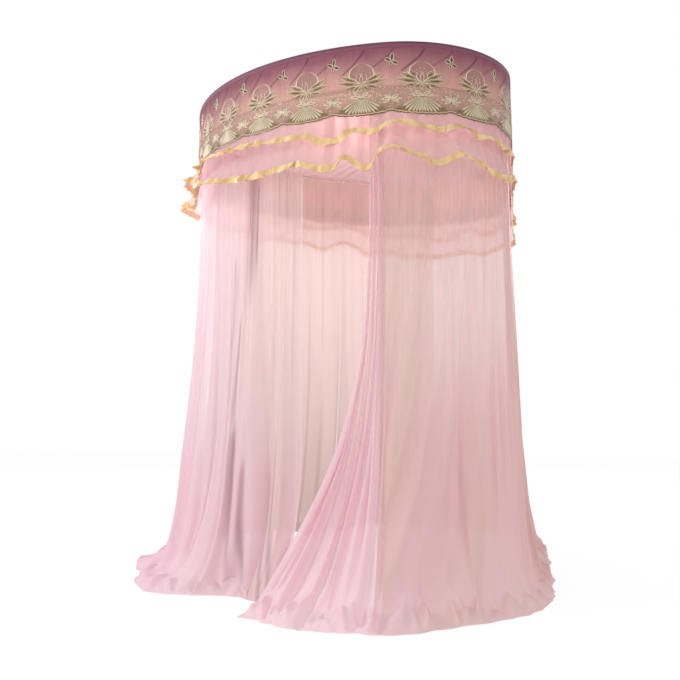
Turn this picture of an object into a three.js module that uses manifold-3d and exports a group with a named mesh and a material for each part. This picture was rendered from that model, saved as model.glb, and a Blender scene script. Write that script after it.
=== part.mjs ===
// Bed crown canopy: a D-shaped ceiling rail with a bound rim, a sheer valance with a scalloped lace edge,
// two ruffle tiers with ribbon hems, a roof cloth and five voile curtains, four of them drawn on gliders.
// Millimetres, +Z up. The origin is the middle of the rear bracket's top face, on the ceiling, and the
// rounded front points along -Y.
import * as THREE from "three";
import { mergeVertices } from "three/addons/utils/BufferGeometryUtils.js";
import Module from "manifold-3d";

const wasm = await Module();
wasm.setup();

// Driving dimensions
const ceilingHeight = 2200;
const noseRadius = 1058;
const bendRadius = 470;
const valanceDrop = 278;
const clearance = 0.3;

// Rail: a C section with flanges on top and a slot below
const railDepth = 14;
const railWidth = 16;
const railWall = 1.6;
const flangeReach = 3;
const flangeThickness = 1.5;
const slotWidth = 7;
const railEndGap = 0.6;
const noseSteps = 16;
const bendSteps = 10;
const backSteps = 3;

// Ceiling brackets that hook under the flanges
const bracketPlate = 2;
const bracketLength = 24;
const bracketWall = 1.6;
const jawClearance = 1.4;
const lipReach = 3;
const screwSpace = 3;
const screwHoleRadius = 2;
const screwHoleShare = 0.3;
const innerBracketStep = 5;
const outerBracketStep = 11;
const holeSides = 8;

// Splice plates over the rail's joints
const splicePlate = 1.7;
const spliceLength = 64;
const spliceWidth = 15;

// Touch fastener, rim, valance, lace and lining
const touchHook = 3;
const touchLoop = 3.3;
const touchTop = 2.4;
const rimThickness = 7;
const rimHeight = 22;
const rimCeilingGap = 1;
const rimRoundShare = 0.3;
const liningThickness = 2;
const liningDrop = 190;
const valanceThickness = 2;
const valanceSet = 4.2;
const laceThickness = 1.5;
const laceGap = 1.2;
const laceHeight = 104;
const laceLap = 18;
const scallopDepth = 22;
const scallopCount = 26;
const scallopShares = [1, 0.72, 0, 0.72];

// Ruffles and their ribbons
const ruffleGap = 1.3;
const ruffleThickness = 1.6;
const ruffleWaves = 18;
const ruffleColumns = 5;
const ribbonWidth = 27;
const ribbonThickness = 1.2;
const upperRuffleHem = 372;
const upperRuffleHead = 197;
const upperRuffleHeld = 282;
const upperRuffleFlare = 36;
const upperRuffleWave = 9;
const lowerRuffleHem = 488;
const lowerRuffleHead = 172;
const lowerRuffleHeld = 386;
const lowerRuffleFlare = 52;
const lowerRuffleWave = 13;
const rippleShare = 0.35;

// Roof cloth
const roofThickness = 2;
const roofHem = 4;
const roofBelowJaw = 1.2;
const roofSag = 38;
const roofRingShares = [1, 0.97, 0.62, 0.28];

// Gliders and stops
const gliderThickness = 3;
const headWidth = 9;
const headHeight = 6;
const stemWidth = 3;
const collarHeight = 2;
const collarWidth = 8;
const eyeRadius = 4.5;
const eyeHole = 2.2;
const eyeDrop = 4.4;
const eyeSides = 3;
const stopLength = 9;
const stopWidth = 10;
const stopPlay = 0.6;
const stopFromJoint = 12;
const endGliderFromStop = 16;
const backGliderCount = 8;

// Where the gliders stand, in degrees round the nose from its tip
const rightLeadAngle = 71.5;
const leftLeadAngle = 57;
const drawnLeadAngle = 87.5;
const closedLeadAngle = 59;
const frontFollowerShares = [0.3333, 0.6667];
const sideFollowerShare = 0.5;

// Curtains
const headingThickness = 6;
const curtainThickness = 7;
const curtainGap = 4;
const hemMargin = 8;
const frontPoolReach = 295;
const sidePoolReach = 315;
const backPoolReach = 172;
const leadPoolReach = 30;
const drawnPoolReach = 260;
const jointPoolReach = 285;
const poolTaper = 300;
const leadPoolHold = 190;
const frontFolds = 7;
const closedSideFolds = 4;
const drawnSideFolds = 4;
const backFolds = 12;
const foldColumns = 6;
const frontFoldDepth = 17;
const drawnFoldDepth = 13;
const backFoldDepth = 16;
const poolThickness = 34;
const rightTrailAngle = 65.8;
const leftTrailAngle = 53.5;
const drawnTrailAngle = 66.5;
const halfTurn = 180;

// Shares of a curtain's fall: height fallen, reach towards the pool's edge, fold depth, trail
const fallShares = [
  [0, 0, 0.2, 0],
  [0.21, 0.01, 0.4, 0],
  [0.5, 0.06, 0.75, 0.04],
  [0.78, 0.2, 1, 0.36],
  [0.95, 0.42, 1, 0.85],
];
const poolShares = [
  [1, 0.66, 0.9, 0.97],
  [0.62, 0.88, 0.7, 1],
  [0, 1, 0.5, 1],
];
const poolInnerShare = 0.2;

const noseCentreY = -bendRadius;
const noseQuarter = (noseRadius * Math.PI) / 2;
const bendQuarter = (bendRadius * Math.PI) / 2;
const backHalf = noseRadius - bendRadius;
const railLength = 2 * (noseQuarter + bendQuarter + backHalf);

// Heights, down from the ceiling
const railTop = -(bracketPlate + screwSpace);
const railFoot = railTop - railDepth;
const flangeFoot = railTop - flangeThickness;
const lipTop = flangeFoot - clearance;
const lipFoot = lipTop - bracketWall;
const touchHead = railTop - flangeThickness - touchTop;
const touchFoot = railFoot + clearance;
const rimTop = -rimCeilingGap;
const rimFoot = rimTop - rimHeight;
const gliderHeadFoot = railFoot + railWall + clearance;
const collarTop = railFoot - clearance - clearance;
const eyeCentre = collarTop - collarHeight - eyeDrop;
const curtainTop = eyeCentre - eyeRadius - clearance;

// Offsets outward from the rail's centre line
const railFace = railWidth / 2;
const flangeEdge = railFace + flangeReach;
const jawInside = flangeEdge + jawClearance;
const jawOutside = jawInside + bracketWall;
const hookInside = railFace + clearance;
const loopInside = hookInside + touchHook + clearance;
const rimInside = loopInside + touchLoop + clearance;
const rimOutside = rimInside + rimThickness;
const liningOutside = rimInside - clearance;
const liningInside = liningOutside - liningThickness;
const lowerRuffleInside = liningOutside + ruffleGap;
const upperRuffleInside = lowerRuffleInside + ruffleThickness + clearance;
const valanceInside = rimInside + valanceSet;
const valanceOutside = valanceInside + valanceThickness;
const laceInside = valanceOutside + laceGap;
const laceOutside = laceInside + laceThickness;

const group = new THREE.Group();
const finishes = {
  aluminium: { color: 0xd8dadb, roughness: 0.38, metalness: 0.9 },
  steel: { color: 0xc4c6c8, roughness: 0.35, metalness: 0.95 },
  nylon: { color: 0xf3f1ec, roughness: 0.5, metalness: 0 },
  touchTape: { color: 0xe9d9de, roughness: 0.95, metalness: 0 },
  plumBinding: { color: 0x4f2238, roughness: 0.6, metalness: 0 },
  plumVoile: { color: 0xa86f80, roughness: 0.75, metalness: 0 },
  goldLace: { color: 0xb29a7c, roughness: 0.6, metalness: 0.1 },
  pinkTulle: { color: 0xecc2bd, roughness: 0.85, metalness: 0 },
  goldRibbon: { color: 0xdcb878, roughness: 0.35, metalness: 0.2 },
  roseVoile: { color: 0xe8c9cd, roughness: 0.85, metalness: 0 },
};

function addMesh(name, geometry, finish) {
  const mesh = new THREE.Mesh(geometry, new THREE.MeshStandardMaterial(finishes[finish]));
  mesh.name = name;
  group.add(mesh);
  return mesh;
}

// The rail's centre line, by its length from the nose tip round by the right side
function planAt(distance) {
  let along = ((distance % railLength) + railLength) % railLength;
  const onLeft = along > railLength / 2;
  if (onLeft) along = railLength - along;
  const turn = new THREE.Vector2();
  const point = new THREE.Vector2();
  if (along <= noseQuarter) {
    const angle = along / noseRadius;
    turn.set(Math.sin(angle), -Math.cos(angle));
    point.set(0, noseCentreY).addScaledVector(turn, noseRadius);
  } else if (along <= noseQuarter + bendQuarter) {
    const angle = (along - noseQuarter) / bendRadius;
    turn.set(Math.cos(angle), Math.sin(angle));
    point.set(backHalf, noseCentreY).addScaledVector(turn, bendRadius);
  } else {
    turn.set(0, 1);
    point.set(backHalf - (along - noseQuarter - bendQuarter), 0);
  }
  if (onLeft) {
    turn.x = -turn.x;
    point.x = -point.x;
  }
  return { point, turn };
}

function place([distance, out, height]) {
  const { point, turn } = planAt(distance);
  return [point.x + turn.x * out, point.y + turn.y * out, height];
}

function stretch(from, to, steps) {
  return Array.from({ length: steps + 1 }, (_, i) => from + ((to - from) * i) / steps);
}

function signedArea(points) {
  return THREE.ShapeUtils.area(points);
}

// A closed body through sections of [distance, out, height], each listed down outside and up inside.
// Both walls of a quad split along the same diagonal, so that cloths laid on each other stay parallel.
function loft(sections, closed) {
  const positions = sections.flatMap((section) => section.flatMap(place));
  const count = sections[0].length;
  const indices = [];
  const last = closed ? sections.length : sections.length - 1;
  for (let column = 0; column < last; column++) {
    const here = column * count;
    const next = ((column + 1) % sections.length) * count;
    for (let row = 0; row < count; row++) {
      const after = (row + 1) % count;
      if (sections[column][row][2] > sections[column][after][2]) {
        indices.push(here + row, here + after, next + after);
        indices.push(here + row, next + after, next + row);
      } else {
        indices.push(here + row, here + after, next + row);
        indices.push(here + after, next + after, next + row);
      }
    }
  }
  if (!closed) {
    const capEnd = (section, offset, reversed) => {
      const outline = section.map(([, out, height]) => new THREE.Vector2(out, height));
      const whole = Math.sign(signedArea(outline));
      for (const [a, b, c] of THREE.ShapeUtils.triangulateShape(outline, [])) {
        const same = Math.sign(signedArea([outline[a], outline[b], outline[c]])) === whole;
        const [p, q] = same !== reversed ? [b, c] : [c, b];
        indices.push(offset + a, offset + p, offset + q);
      }
    };
    capEnd(sections[0], 0, true);
    capEnd(sections[sections.length - 1], (sections.length - 1) * count, false);
  }
  const geometry = new THREE.BufferGeometry();
  geometry.setAttribute("position", new THREE.Float32BufferAttribute(positions, 3));
  geometry.setIndex(indices);
  return geometry;
}

// One outline of [out, height] carried along the plan
function sweep(outline, distances, closed) {
  return loft(
    distances.map((distance) => outline.map(([out, height]) => [distance, out, height])),
    closed,
  );
}

function band(inside, outside, top, foot) {
  return [
    [outside, top],
    [outside, foot],
    [inside, foot],
    [inside, top],
  ];
}

const rightBendStart = noseQuarter;
const backStart = noseQuarter + bendQuarter;
const backEnd = backStart + 2 * backHalf;
const leftBendEnd = backEnd + bendQuarter;
const ringColumns = [
  ...stretch(0, rightBendStart, noseSteps).slice(0, -1),
  ...stretch(rightBendStart, backStart, bendSteps).slice(0, -1),
  ...stretch(backStart, backEnd, backSteps).slice(0, -1),
  ...stretch(backEnd, leftBendEnd, bendSteps).slice(0, -1),
  ...stretch(leftBendEnd, railLength, noseSteps).slice(0, -1),
];

function ring(outline) {
  return sweep(outline, ringColumns, true);
}

// Joins and cuts on closed meshes
function solidOf(geometry) {
  const bare = geometry.clone();
  bare.deleteAttribute("normal");
  bare.deleteAttribute("uv");
  const merged = mergeVertices(bare);
  return new wasm.Manifold(
    new wasm.Mesh({
      numProp: 3,
      vertProperties: new Float32Array(merged.getAttribute("position").array),
      triVerts: new Uint32Array(merged.getIndex().array),
    }),
  );
}

function geometryOf(solid) {
  const mesh = solid.getMesh();
  const geometry = new THREE.BufferGeometry();
  geometry.setAttribute("position", new THREE.BufferAttribute(mesh.vertProperties, 3));
  geometry.setIndex(new THREE.BufferAttribute(mesh.triVerts, 1));
  return geometry;
}

// Turns a mesh so that its X runs along the rail, its Y up and its Z outward
function standOnRail(mesh, distance) {
  const { point, turn } = planAt(distance);
  const along = new THREE.Vector3(-turn.y, turn.x, 0);
  const up = new THREE.Vector3(0, 0, 1);
  const out = new THREE.Vector3(turn.x, turn.y, 0);
  mesh.quaternion.setFromRotationMatrix(new THREE.Matrix4().makeBasis(along, up, out));
  mesh.position.set(point.x, point.y, 0);
}

function noseDistance(degrees) {
  return (degrees / halfTurn) * Math.PI * noseRadius;
}

function buildRails() {
  const cavity = railFace - railWall;
  const slot = slotWidth / 2;
  const roof = railTop - railWall;
  const lip = railFoot + railWall;
  const right = [
    [flangeEdge, railTop],
    [flangeEdge, flangeFoot],
    [railFace, flangeFoot],
    [railFace, railFoot],
    [slot, railFoot],
    [slot, lip],
    [cavity, lip],
    [cavity, roof],
  ];
  const left = right.map(([out, height]) => [-out, height]).reverse();
  const outline = [...right, ...left];
  const cut = railEndGap / 2;
  const pieces = [
    ["rail_front_right", 0, rightBendStart, noseSteps],
    ["rail_bend_right", rightBendStart, backStart, bendSteps],
    ["rail_back", backStart, backEnd, backSteps],
    ["rail_bend_left", backEnd, leftBendEnd, bendSteps],
    ["rail_front_left", leftBendEnd, railLength, noseSteps],
  ];
  for (const [name, from, to, steps] of pieces) {
    const columns = stretch(from, to, steps);
    columns[0] += cut;
    columns[steps] -= cut;
    addMesh(name, sweep(outline, columns, false), "aluminium");
  }
}

function buildSplices() {
  const foot = railTop + clearance;
  const outline = band(-spliceWidth / 2, spliceWidth / 2, foot + splicePlate, foot);
  const joints = [
    ["splice_plate_front", 0],
    ["splice_plate_right", rightBendStart],
    ["splice_plate_back_right", backStart],
    ["splice_plate_back_left", backEnd],
    ["splice_plate_left", leftBendEnd],
  ];
  for (const [name, at] of joints) {
    const columns = [at - spliceLength / 2, at, at + spliceLength / 2];
    addMesh(name, sweep(outline, columns, false), "steel");
  }
}

function bracketGeometry() {
  const half = [
    [jawOutside, 0],
    [jawOutside, lipFoot],
    [jawInside - lipReach, lipFoot],
    [jawInside - lipReach, lipTop],
    [jawInside, lipTop],
    [jawInside, -bracketPlate],
  ];
  const outline = [...half, ...half.map(([out, height]) => [-out, height]).reverse()];
  const shape = new THREE.Shape(outline.map(([out, height]) => new THREE.Vector2(out, height)));
  const clip = new THREE.ExtrudeGeometry(shape, { depth: bracketLength, bevelEnabled: false });
  clip.translate(0, 0, -bracketLength / 2);
  clip.rotateY(Math.PI / 2);
  let solid = solidOf(clip);
  for (const side of [-1, 1]) {
    const drill = new THREE.CylinderGeometry(screwHoleRadius, screwHoleRadius, 2 * railDepth, holeSides);
    drill.translate(side * screwHoleShare * bracketLength, 0, 0);
    solid = solid.subtract(solidOf(drill));
  }
  return geometryOf(solid);
}

function buildBrackets() {
  const geometry = bracketGeometry();
  const frontInner = (noseQuarter * innerBracketStep) / noseSteps;
  const frontOuter = (noseQuarter * outerBracketStep) / noseSteps;
  const bendMiddle = rightBendStart + bendQuarter / 2;
  const places = [
    ["bracket_back", railLength / 2],
    ["bracket_bend_right", bendMiddle],
    ["bracket_bend_left", railLength - bendMiddle],
    ["bracket_side_right", frontOuter],
    ["bracket_side_left", railLength - frontOuter],
    ["bracket_front_right", frontInner],
    ["bracket_front_left", railLength - frontInner],
  ];
  for (const [name, at] of places) standOnRail(addMesh(name, geometry, "steel"), at);
}

function buildRim() {
  const touch = [
    ["touch_strip_hook", hookInside, touchHook],
    ["touch_strip_loop", loopInside, touchLoop],
  ];
  for (const [name, inside, thickness] of touch) {
    addMesh(name, ring(band(inside, inside + thickness, touchHead, touchFoot)), "touchTape");
  }
  const round = rimThickness * rimRoundShare;
  const bound = [
    [rimOutside - round, rimTop],
    [rimOutside, rimTop - round],
    [rimOutside, rimFoot + round],
    [rimOutside - round, rimFoot],
    [rimInside, rimFoot],
    [rimInside, rimTop],
  ];
  addMesh("rim_binding", ring(bound), "plumBinding");
  const lining = band(liningInside, liningOutside, touchFoot - clearance, -liningDrop);
  addMesh("lining_band", ring(lining), "pinkTulle");
}

function buildValance() {
  const laceTop = laceHeight - valanceDrop;
  const foot = laceTop - laceLap;
  const head = rimFoot - clearance;
  addMesh("valance_band", ring(band(valanceInside, valanceOutside, head, foot)), "plumVoile");
  const columns = scallopCount * scallopShares.length;
  const sections = stretch(0, railLength, columns)
    .slice(0, -1)
    .map((distance, i) => {
      const dip = scallopDepth * scallopShares[i % scallopShares.length];
      const edge = -valanceDrop + scallopDepth - dip;
      return band(laceInside, laceOutside, laceTop, edge).map(([out, height]) => [
        distance,
        out,
        height,
      ]);
    });
  addMesh("lace_edging", loft(sections, true), "goldLace");
}

// A tier: sewn on at its head, straight while the cloth behind holds it, then flaring in waves to its hem
function buildRuffle({ name, head, held, hem, inside, flare, wave }) {
  const columns = ruffleWaves * ruffleColumns;
  const ribbonTop = ribbonWidth - hem;
  const tier = [];
  const ribbon = [];
  stretch(0, railLength, columns)
    .slice(0, -1)
    .forEach((distance, i) => {
      const turns = (2 * Math.PI * i) / columns;
      const swing = Math.sin(ruffleWaves * turns) + rippleShare * Math.sin(3 * turns + flare / hem);
      const reach = (height) => {
        const share = Math.max(0, (height + held) / (held - hem));
        return inside + (flare + wave * swing) * share;
      };
      const rows = [-head, -held, ribbonTop, -hem];
      tier.push([
        ...rows.map((height) => [distance, reach(height) + ruffleThickness, height]),
        ...rows.map((height) => [distance, reach(height), height]).reverse(),
      ]);
      const face = (height) => reach(height) + ruffleThickness + clearance;
      ribbon.push([
        [distance, face(ribbonTop) + ribbonThickness, ribbonTop],
        [distance, face(-hem) + ribbonThickness, -hem],
        [distance, face(-hem), -hem],
        [distance, face(ribbonTop), ribbonTop],
      ]);
    });
  addMesh(`ruffle_${name}`, loft(tier, true), "pinkTulle");
  addMesh(`ribbon_${name}`, loft(ribbon, true), "goldRibbon");
}

function buildRuffles() {
  buildRuffle({
    name: "upper",
    head: upperRuffleHead,
    held: upperRuffleHeld,
    hem: upperRuffleHem,
    inside: upperRuffleInside,
    flare: upperRuffleFlare,
    wave: upperRuffleWave,
  });
  buildRuffle({
    name: "lower",
    head: lowerRuffleHead,
    held: lowerRuffleHeld,
    hem: lowerRuffleHem,
    inside: lowerRuffleInside,
    flare: lowerRuffleFlare,
    wave: lowerRuffleWave,
  });
}

// The roof hangs in a shallow sag from a hem along the rail's inner face
function buildRoof() {
  const edge = -(railFace + clearance);
  const level = lipFoot - roofBelowJaw;
  const middleY = noseCentreY / 2 - (noseRadius - bendRadius) / 2;
  const positions = [];
  const indices = [];
  const count = ringColumns.length;
  const addRing = (share, lower) => {
    for (const distance of ringColumns) {
      const [x, y] = place([distance, edge, 0]);
      const sag = roofSag * (1 - share * share);
      const hem = share === 1 ? roofHem : roofThickness;
      positions.push(x * share, middleY + (y - middleY) * share, level - sag - (lower ? hem : 0));
    }
  };
  roofRingShares.forEach((share) => addRing(share, false));
  const topPole = positions.length / 3;
  positions.push(0, middleY, level - roofSag);
  const lowerStart = positions.length / 3;
  roofRingShares.forEach((share) => addRing(share, true));
  const footPole = positions.length / 3;
  positions.push(0, middleY, level - roofSag - roofThickness);
  const rings = roofRingShares.length;
  for (let column = 0; column < count; column++) {
    const next = (column + 1) % count;
    for (let row = 0; row < rings - 1; row++) {
      const a = row * count + column;
      const b = row * count + next;
      const c = a + count;
      const d = b + count;
      indices.push(a, b, d, a, d, c);
      indices.push(lowerStart + a, lowerStart + d, lowerStart + b);
      indices.push(lowerStart + a, lowerStart + c, lowerStart + d);
    }
    const inner = (rings - 1) * count;
    indices.push(inner + column, inner + next, topPole);
    indices.push(lowerStart + inner + next, lowerStart + inner + column, footPole);
    indices.push(column, lowerStart + next, next, column, lowerStart + column, lowerStart + next);
  }
  const geometry = new THREE.BufferGeometry();
  geometry.setAttribute("position", new THREE.Float32BufferAttribute(positions, 3));
  geometry.setIndex(indices);
  addMesh("roof_cloth", geometry, "plumVoile");
}

// A flat nylon glider across the rail: head inside, stem through the slot, collar and eye below
function gliderGeometry() {
  const headTop = gliderHeadFoot + headHeight;
  const collarFoot = collarTop - collarHeight;
  const halfHead = headWidth / 2;
  const halfStem = stemWidth / 2;
  const halfCollar = collarWidth / 2;
  const shape = new THREE.Shape();
  shape.moveTo(-halfHead, headTop);
  shape.lineTo(-halfHead, gliderHeadFoot);
  shape.lineTo(-halfStem, gliderHeadFoot);
  shape.lineTo(-halfStem, collarTop);
  shape.lineTo(-halfCollar, collarTop);
  shape.lineTo(-halfCollar, collarFoot);
  const neck = Math.asin(eyeDrop / eyeRadius);
  shape.absarc(0, eyeCentre, eyeRadius, Math.PI - neck, 2 * Math.PI + neck, false);
  shape.lineTo(halfCollar, collarFoot);
  shape.lineTo(halfCollar, collarTop);
  shape.lineTo(halfStem, collarTop);
  shape.lineTo(halfStem, gliderHeadFoot);
  shape.lineTo(halfHead, gliderHeadFoot);
  shape.lineTo(halfHead, headTop);
  const hole = new THREE.Path();
  hole.absarc(0, eyeCentre, eyeHole, 0, 2 * Math.PI, true);
  shape.holes.push(hole);
  const geometry = new THREE.ExtrudeGeometry(shape, {
    depth: gliderThickness,
    bevelEnabled: false,
    curveSegments: eyeSides,
  });
  geometry.translate(0, 0, -gliderThickness / 2);
  geometry.rotateY(Math.PI / 2);
  return geometry;
}

function buildGliders() {
  const geometry = gliderGeometry();
  const add = (name, distance) => standOnRail(addMesh(name, geometry, "nylon"), distance);
  const frontEnd = stopFromJoint + endGliderFromStop;
  const sideEnd = noseQuarter - stopFromJoint;
  const sides = [
    ["right", 1, noseDistance(rightLeadAngle), noseDistance(drawnLeadAngle)],
    ["left", -1, noseDistance(leftLeadAngle), noseDistance(closedLeadAngle)],
  ];
  for (const [side, sign, frontLead, sideLead] of sides) {
    add(`front_glider_${side}_end`, sign * frontEnd);
    frontFollowerShares.forEach((share, i) => {
      add(`front_glider_${side}_${i + 1}`, sign * (frontEnd + (frontLead - frontEnd) * share));
    });
    add(`front_glider_${side}_lead`, sign * frontLead);
    add(`side_glider_${side}_lead`, sign * sideLead);
    add(`side_glider_${side}_1`, sign * (sideEnd + (sideLead - sideEnd) * sideFollowerShare));
    add(`side_glider_${side}_end`, sign * sideEnd);
  }
  const backFrom = rightBendStart + stopFromJoint + endGliderFromStop;
  const backTo = leftBendEnd - stopFromJoint - endGliderFromStop;
  stretch(backFrom, backTo, backGliderCount - 1).forEach((distance, i) => {
    add(`back_glider_${i + 1}`, distance);
  });
}

function buildStops() {
  const top = railTop - railWall - stopPlay;
  const height = top - gliderHeadFoot;
  const places = [
    ["stop_front_right", stopFromJoint],
    ["stop_front_left", railLength - stopFromJoint],
    ["stop_back_right", rightBendStart + stopFromJoint],
    ["stop_back_left", leftBendEnd - stopFromJoint],
  ];
  for (const [name, at] of places) {
    const block = new THREE.BoxGeometry(stopLength, height, stopWidth);
    block.translate(0, top - height / 2, 0);
    standOnRail(addMesh(name, block, "nylon"), at);
  }
}

// One at zero, falling smoothly to nothing at one
function fade(share) {
  const left = Math.max(0, 1 - share);
  return left * left * (3 - 2 * left);
}

// A hanging panel between two places on the rail, its folds deepening down to a pooled hem.
// footFrom and footTo are where its two sides have trailed to at the floor, and fromReach and toReach
// how far its pool spreads there, toReach over the last toHold of its foot.
function buildCurtain(panel) {
  const { name, from, to, footFrom, footTo, folds, depth, reach, fromReach, toReach, toHold = 0 } = panel;
  const columns = folds * foldColumns;
  const floor = -ceilingHeight;
  const fall = curtainTop - floor - poolThickness;
  const sections = stretch(0, 1, columns).map((across) => {
    const turns = 2 * Math.PI * folds * across;
    const wave = Math.sin(turns) + rippleShare * Math.sin(2 * turns + across);
    const walked = ((footTo - footFrom) * across) / poolTaper;
    const left = Math.max(0, (footTo - footFrom) * (1 - across) - toHold) / poolTaper;
    const spread = reach + (fromReach - reach) * fade(walked) + (toReach - reach) * fade(left);
    const point = (height, reachShare, depthShare, trailShare, thickness) => {
      const start = from + (footFrom - from) * trailShare;
      const end = to + (footTo - to) * trailShare;
      const out = spread * reachShare + depth * depthShare * wave + thickness / 2;
      return [start + (end - start) * across, out, height];
    };
    const wall = (fallen) => headingThickness + (curtainThickness - headingThickness) * fallen;
    const outside = fallShares.map(([fallen, out, deep, trail]) =>
      point(curtainTop - fall * fallen, out, deep, trail, wall(fallen)),
    );
    const pool = poolShares.map(([lift, out, deep, trail]) =>
      point(floor + poolThickness * lift, out, deep, trail, curtainThickness),
    );
    const inside = fallShares.map(([fallen, out, deep, trail]) =>
      point(curtainTop - fall * fallen, out, deep, trail, -wall(fallen)),
    );
    const foot = point(floor, poolInnerShare, 1, 1, -curtainThickness);
    return [...outside, ...pool, foot, ...inside.reverse()];
  });
  addMesh(name, loft(sections, false), "roseVoile");
}

function buildCurtains() {
  const tip = curtainGap / 2;
  const rightLead = noseDistance(rightLeadAngle) + hemMargin;
  const rightFoot = noseDistance(rightTrailAngle);
  const leftLead = noseDistance(leftLeadAngle) + hemMargin;
  const leftFoot = noseDistance(leftTrailAngle);
  const sideEnd = noseQuarter - curtainGap / 2;
  const closedLead = noseDistance(closedLeadAngle) - hemMargin;
  buildCurtain({
    name: "front_curtain_right",
    from: tip,
    to: rightLead,
    footFrom: tip,
    footTo: rightFoot,
    folds: frontFolds,
    depth: frontFoldDepth,
    reach: frontPoolReach,
    fromReach: frontPoolReach,
    toReach: leadPoolReach,
    toHold: leadPoolHold,
  });
  buildCurtain({
    name: "front_curtain_left",
    from: railLength - leftLead,
    to: railLength - tip,
    footFrom: railLength - leftFoot,
    footTo: railLength - tip,
    folds: frontFolds,
    depth: frontFoldDepth,
    reach: frontPoolReach,
    fromReach: leadPoolReach,
    toReach: frontPoolReach,
  });
  buildCurtain({
    name: "side_curtain_right",
    from: noseDistance(drawnLeadAngle) - hemMargin,
    to: sideEnd,
    footFrom: noseDistance(drawnTrailAngle),
    footTo: sideEnd,
    folds: drawnSideFolds,
    depth: drawnFoldDepth,
    reach: sidePoolReach,
    fromReach: drawnPoolReach,
    toReach: jointPoolReach,
  });
  buildCurtain({
    name: "side_curtain_left",
    from: railLength - sideEnd,
    to: railLength - closedLead,
    footFrom: railLength - sideEnd,
    footTo: railLength - closedLead,
    folds: closedSideFolds,
    depth: frontFoldDepth,
    reach: frontPoolReach,
    fromReach: jointPoolReach,
    toReach: leadPoolReach,
  });
  buildCurtain({
    name: "back_curtain",
    from: rightBendStart + tip,
    to: leftBendEnd - tip,
    footFrom: rightBendStart + tip,
    footTo: leftBendEnd - tip,
    folds: backFolds,
    depth: backFoldDepth,
    reach: backPoolReach,
    fromReach: jointPoolReach,
    toReach: jointPoolReach,
  });
}

buildRails();
buildSplices();
buildBrackets();
buildRim();
buildValance();
buildRuffles();
buildRoof();
buildGliders();
buildStops();
buildCurtains();

export default group;
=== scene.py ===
# Bed crown canopy in metres: sheer cloth, lace and satin over the rail, brackets and gliders of the frame.
import math
import bmesh
import bpy
import numpy as np
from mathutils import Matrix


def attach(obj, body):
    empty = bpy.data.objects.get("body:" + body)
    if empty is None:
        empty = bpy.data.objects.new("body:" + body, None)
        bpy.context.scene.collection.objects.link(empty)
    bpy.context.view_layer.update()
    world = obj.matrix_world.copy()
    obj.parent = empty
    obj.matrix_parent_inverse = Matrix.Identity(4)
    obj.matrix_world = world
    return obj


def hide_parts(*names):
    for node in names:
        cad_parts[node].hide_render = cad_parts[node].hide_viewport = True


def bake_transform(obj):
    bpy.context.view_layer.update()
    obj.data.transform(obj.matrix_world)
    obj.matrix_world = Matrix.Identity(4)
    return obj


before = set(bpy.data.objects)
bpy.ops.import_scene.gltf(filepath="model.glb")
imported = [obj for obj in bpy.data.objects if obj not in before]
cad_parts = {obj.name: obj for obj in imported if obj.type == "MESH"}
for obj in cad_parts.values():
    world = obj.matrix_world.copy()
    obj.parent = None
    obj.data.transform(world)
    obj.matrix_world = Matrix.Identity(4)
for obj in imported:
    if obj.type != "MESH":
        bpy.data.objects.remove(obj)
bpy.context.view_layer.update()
scene = bpy.context.scene
scene.view_settings.view_transform = "Standard"
scene.cycles.transparent_max_bounces = 48  # many sheer layers lie behind each other
scene.cycles.max_bounces = 16
scene.cycles.diffuse_bounces = 8

# Camera
view = {
    "place": (4.3188, 0.0313, -1.402),
    "turn": (94.13, 0, 101.57),  # degrees
    "lens": 45.73, "sensor": 36, "sight": 60,
}
eye = bpy.data.objects.new("camera", bpy.data.cameras.new("camera"))
eye.data.lens = view["lens"]
eye.data.sensor_width = view["sensor"]
eye.data.clip_end = view["sight"]
eye.location = view["place"]
eye.rotation_euler = [math.radians(angle) for angle in view["turn"]]
scene.collection.objects.link(eye)
scene.camera = eye


# Nodes
def addNode(tree, kind, values=None, **settings):
    item = tree.nodes.new(kind)
    for key, value in settings.items():
        setattr(item, key, value)
    for key, value in (values or {}).items():
        if isinstance(value, bpy.types.NodeSocket):
            tree.links.new(value, item.inputs[key])
        else:
            item.inputs[key].default_value = value
    return item


def addMath(tree, operation, *values, clamp=False):
    return addNode(tree, "ShaderNodeMath", dict(enumerate(values)), operation=operation, use_clamp=clamp).outputs[0]


def addRange(tree, value, low=0, high=1, toLow=0, toHigh=1):
    values = {"Value": value, "From Min": low, "From Max": high, "To Min": toLow, "To Max": toHigh}
    return addNode(tree, "ShaderNodeMapRange", values).outputs[0]


def addMix(tree, share, low, high):  # a colour between two others
    return addNode(tree, "ShaderNodeMix", {0: share, 6: low, 7: high}, data_type="RGBA").outputs[2]


def addLevel(tree, colour, level):  # a colour made lighter or darker
    return addNode(tree, "ShaderNodeVectorMath", {0: colour, "Scale": level}, operation="SCALE").outputs[0]


def addNoise(tree, place, scale, detail, roughness=0.5):
    values = {"Vector": place, "Scale": scale, "Detail": detail, "Roughness": roughness}
    return addNode(tree, "ShaderNodeTexNoise", values).outputs["Fac"]


def addDots(tree, place, scale, edge, gap, strength):  # round dots that fade from their edge to the gap
    spots = addNode(tree, "ShaderNodeTexVoronoi", {"Vector": place, "Scale": scale}).outputs["Distance"]
    return addRange(tree, spots, edge, gap, strength, 0)


def addBump(tree, height, strength, distance):
    return addNode(tree, "ShaderNodeBump", {"Strength": strength, "Distance": distance, "Height": height}).outputs[0]


def readField(tree, name):
    return addNode(tree, "ShaderNodeAttribute", attribute_name=name).outputs["Fac"]


def objectPlace(tree):
    return addNode(tree, "ShaderNodeTexCoord").outputs["Object"]


def splitPlace(tree, place):
    return addNode(tree, "ShaderNodeSeparateXYZ", {"Vector": place}).outputs


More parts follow.
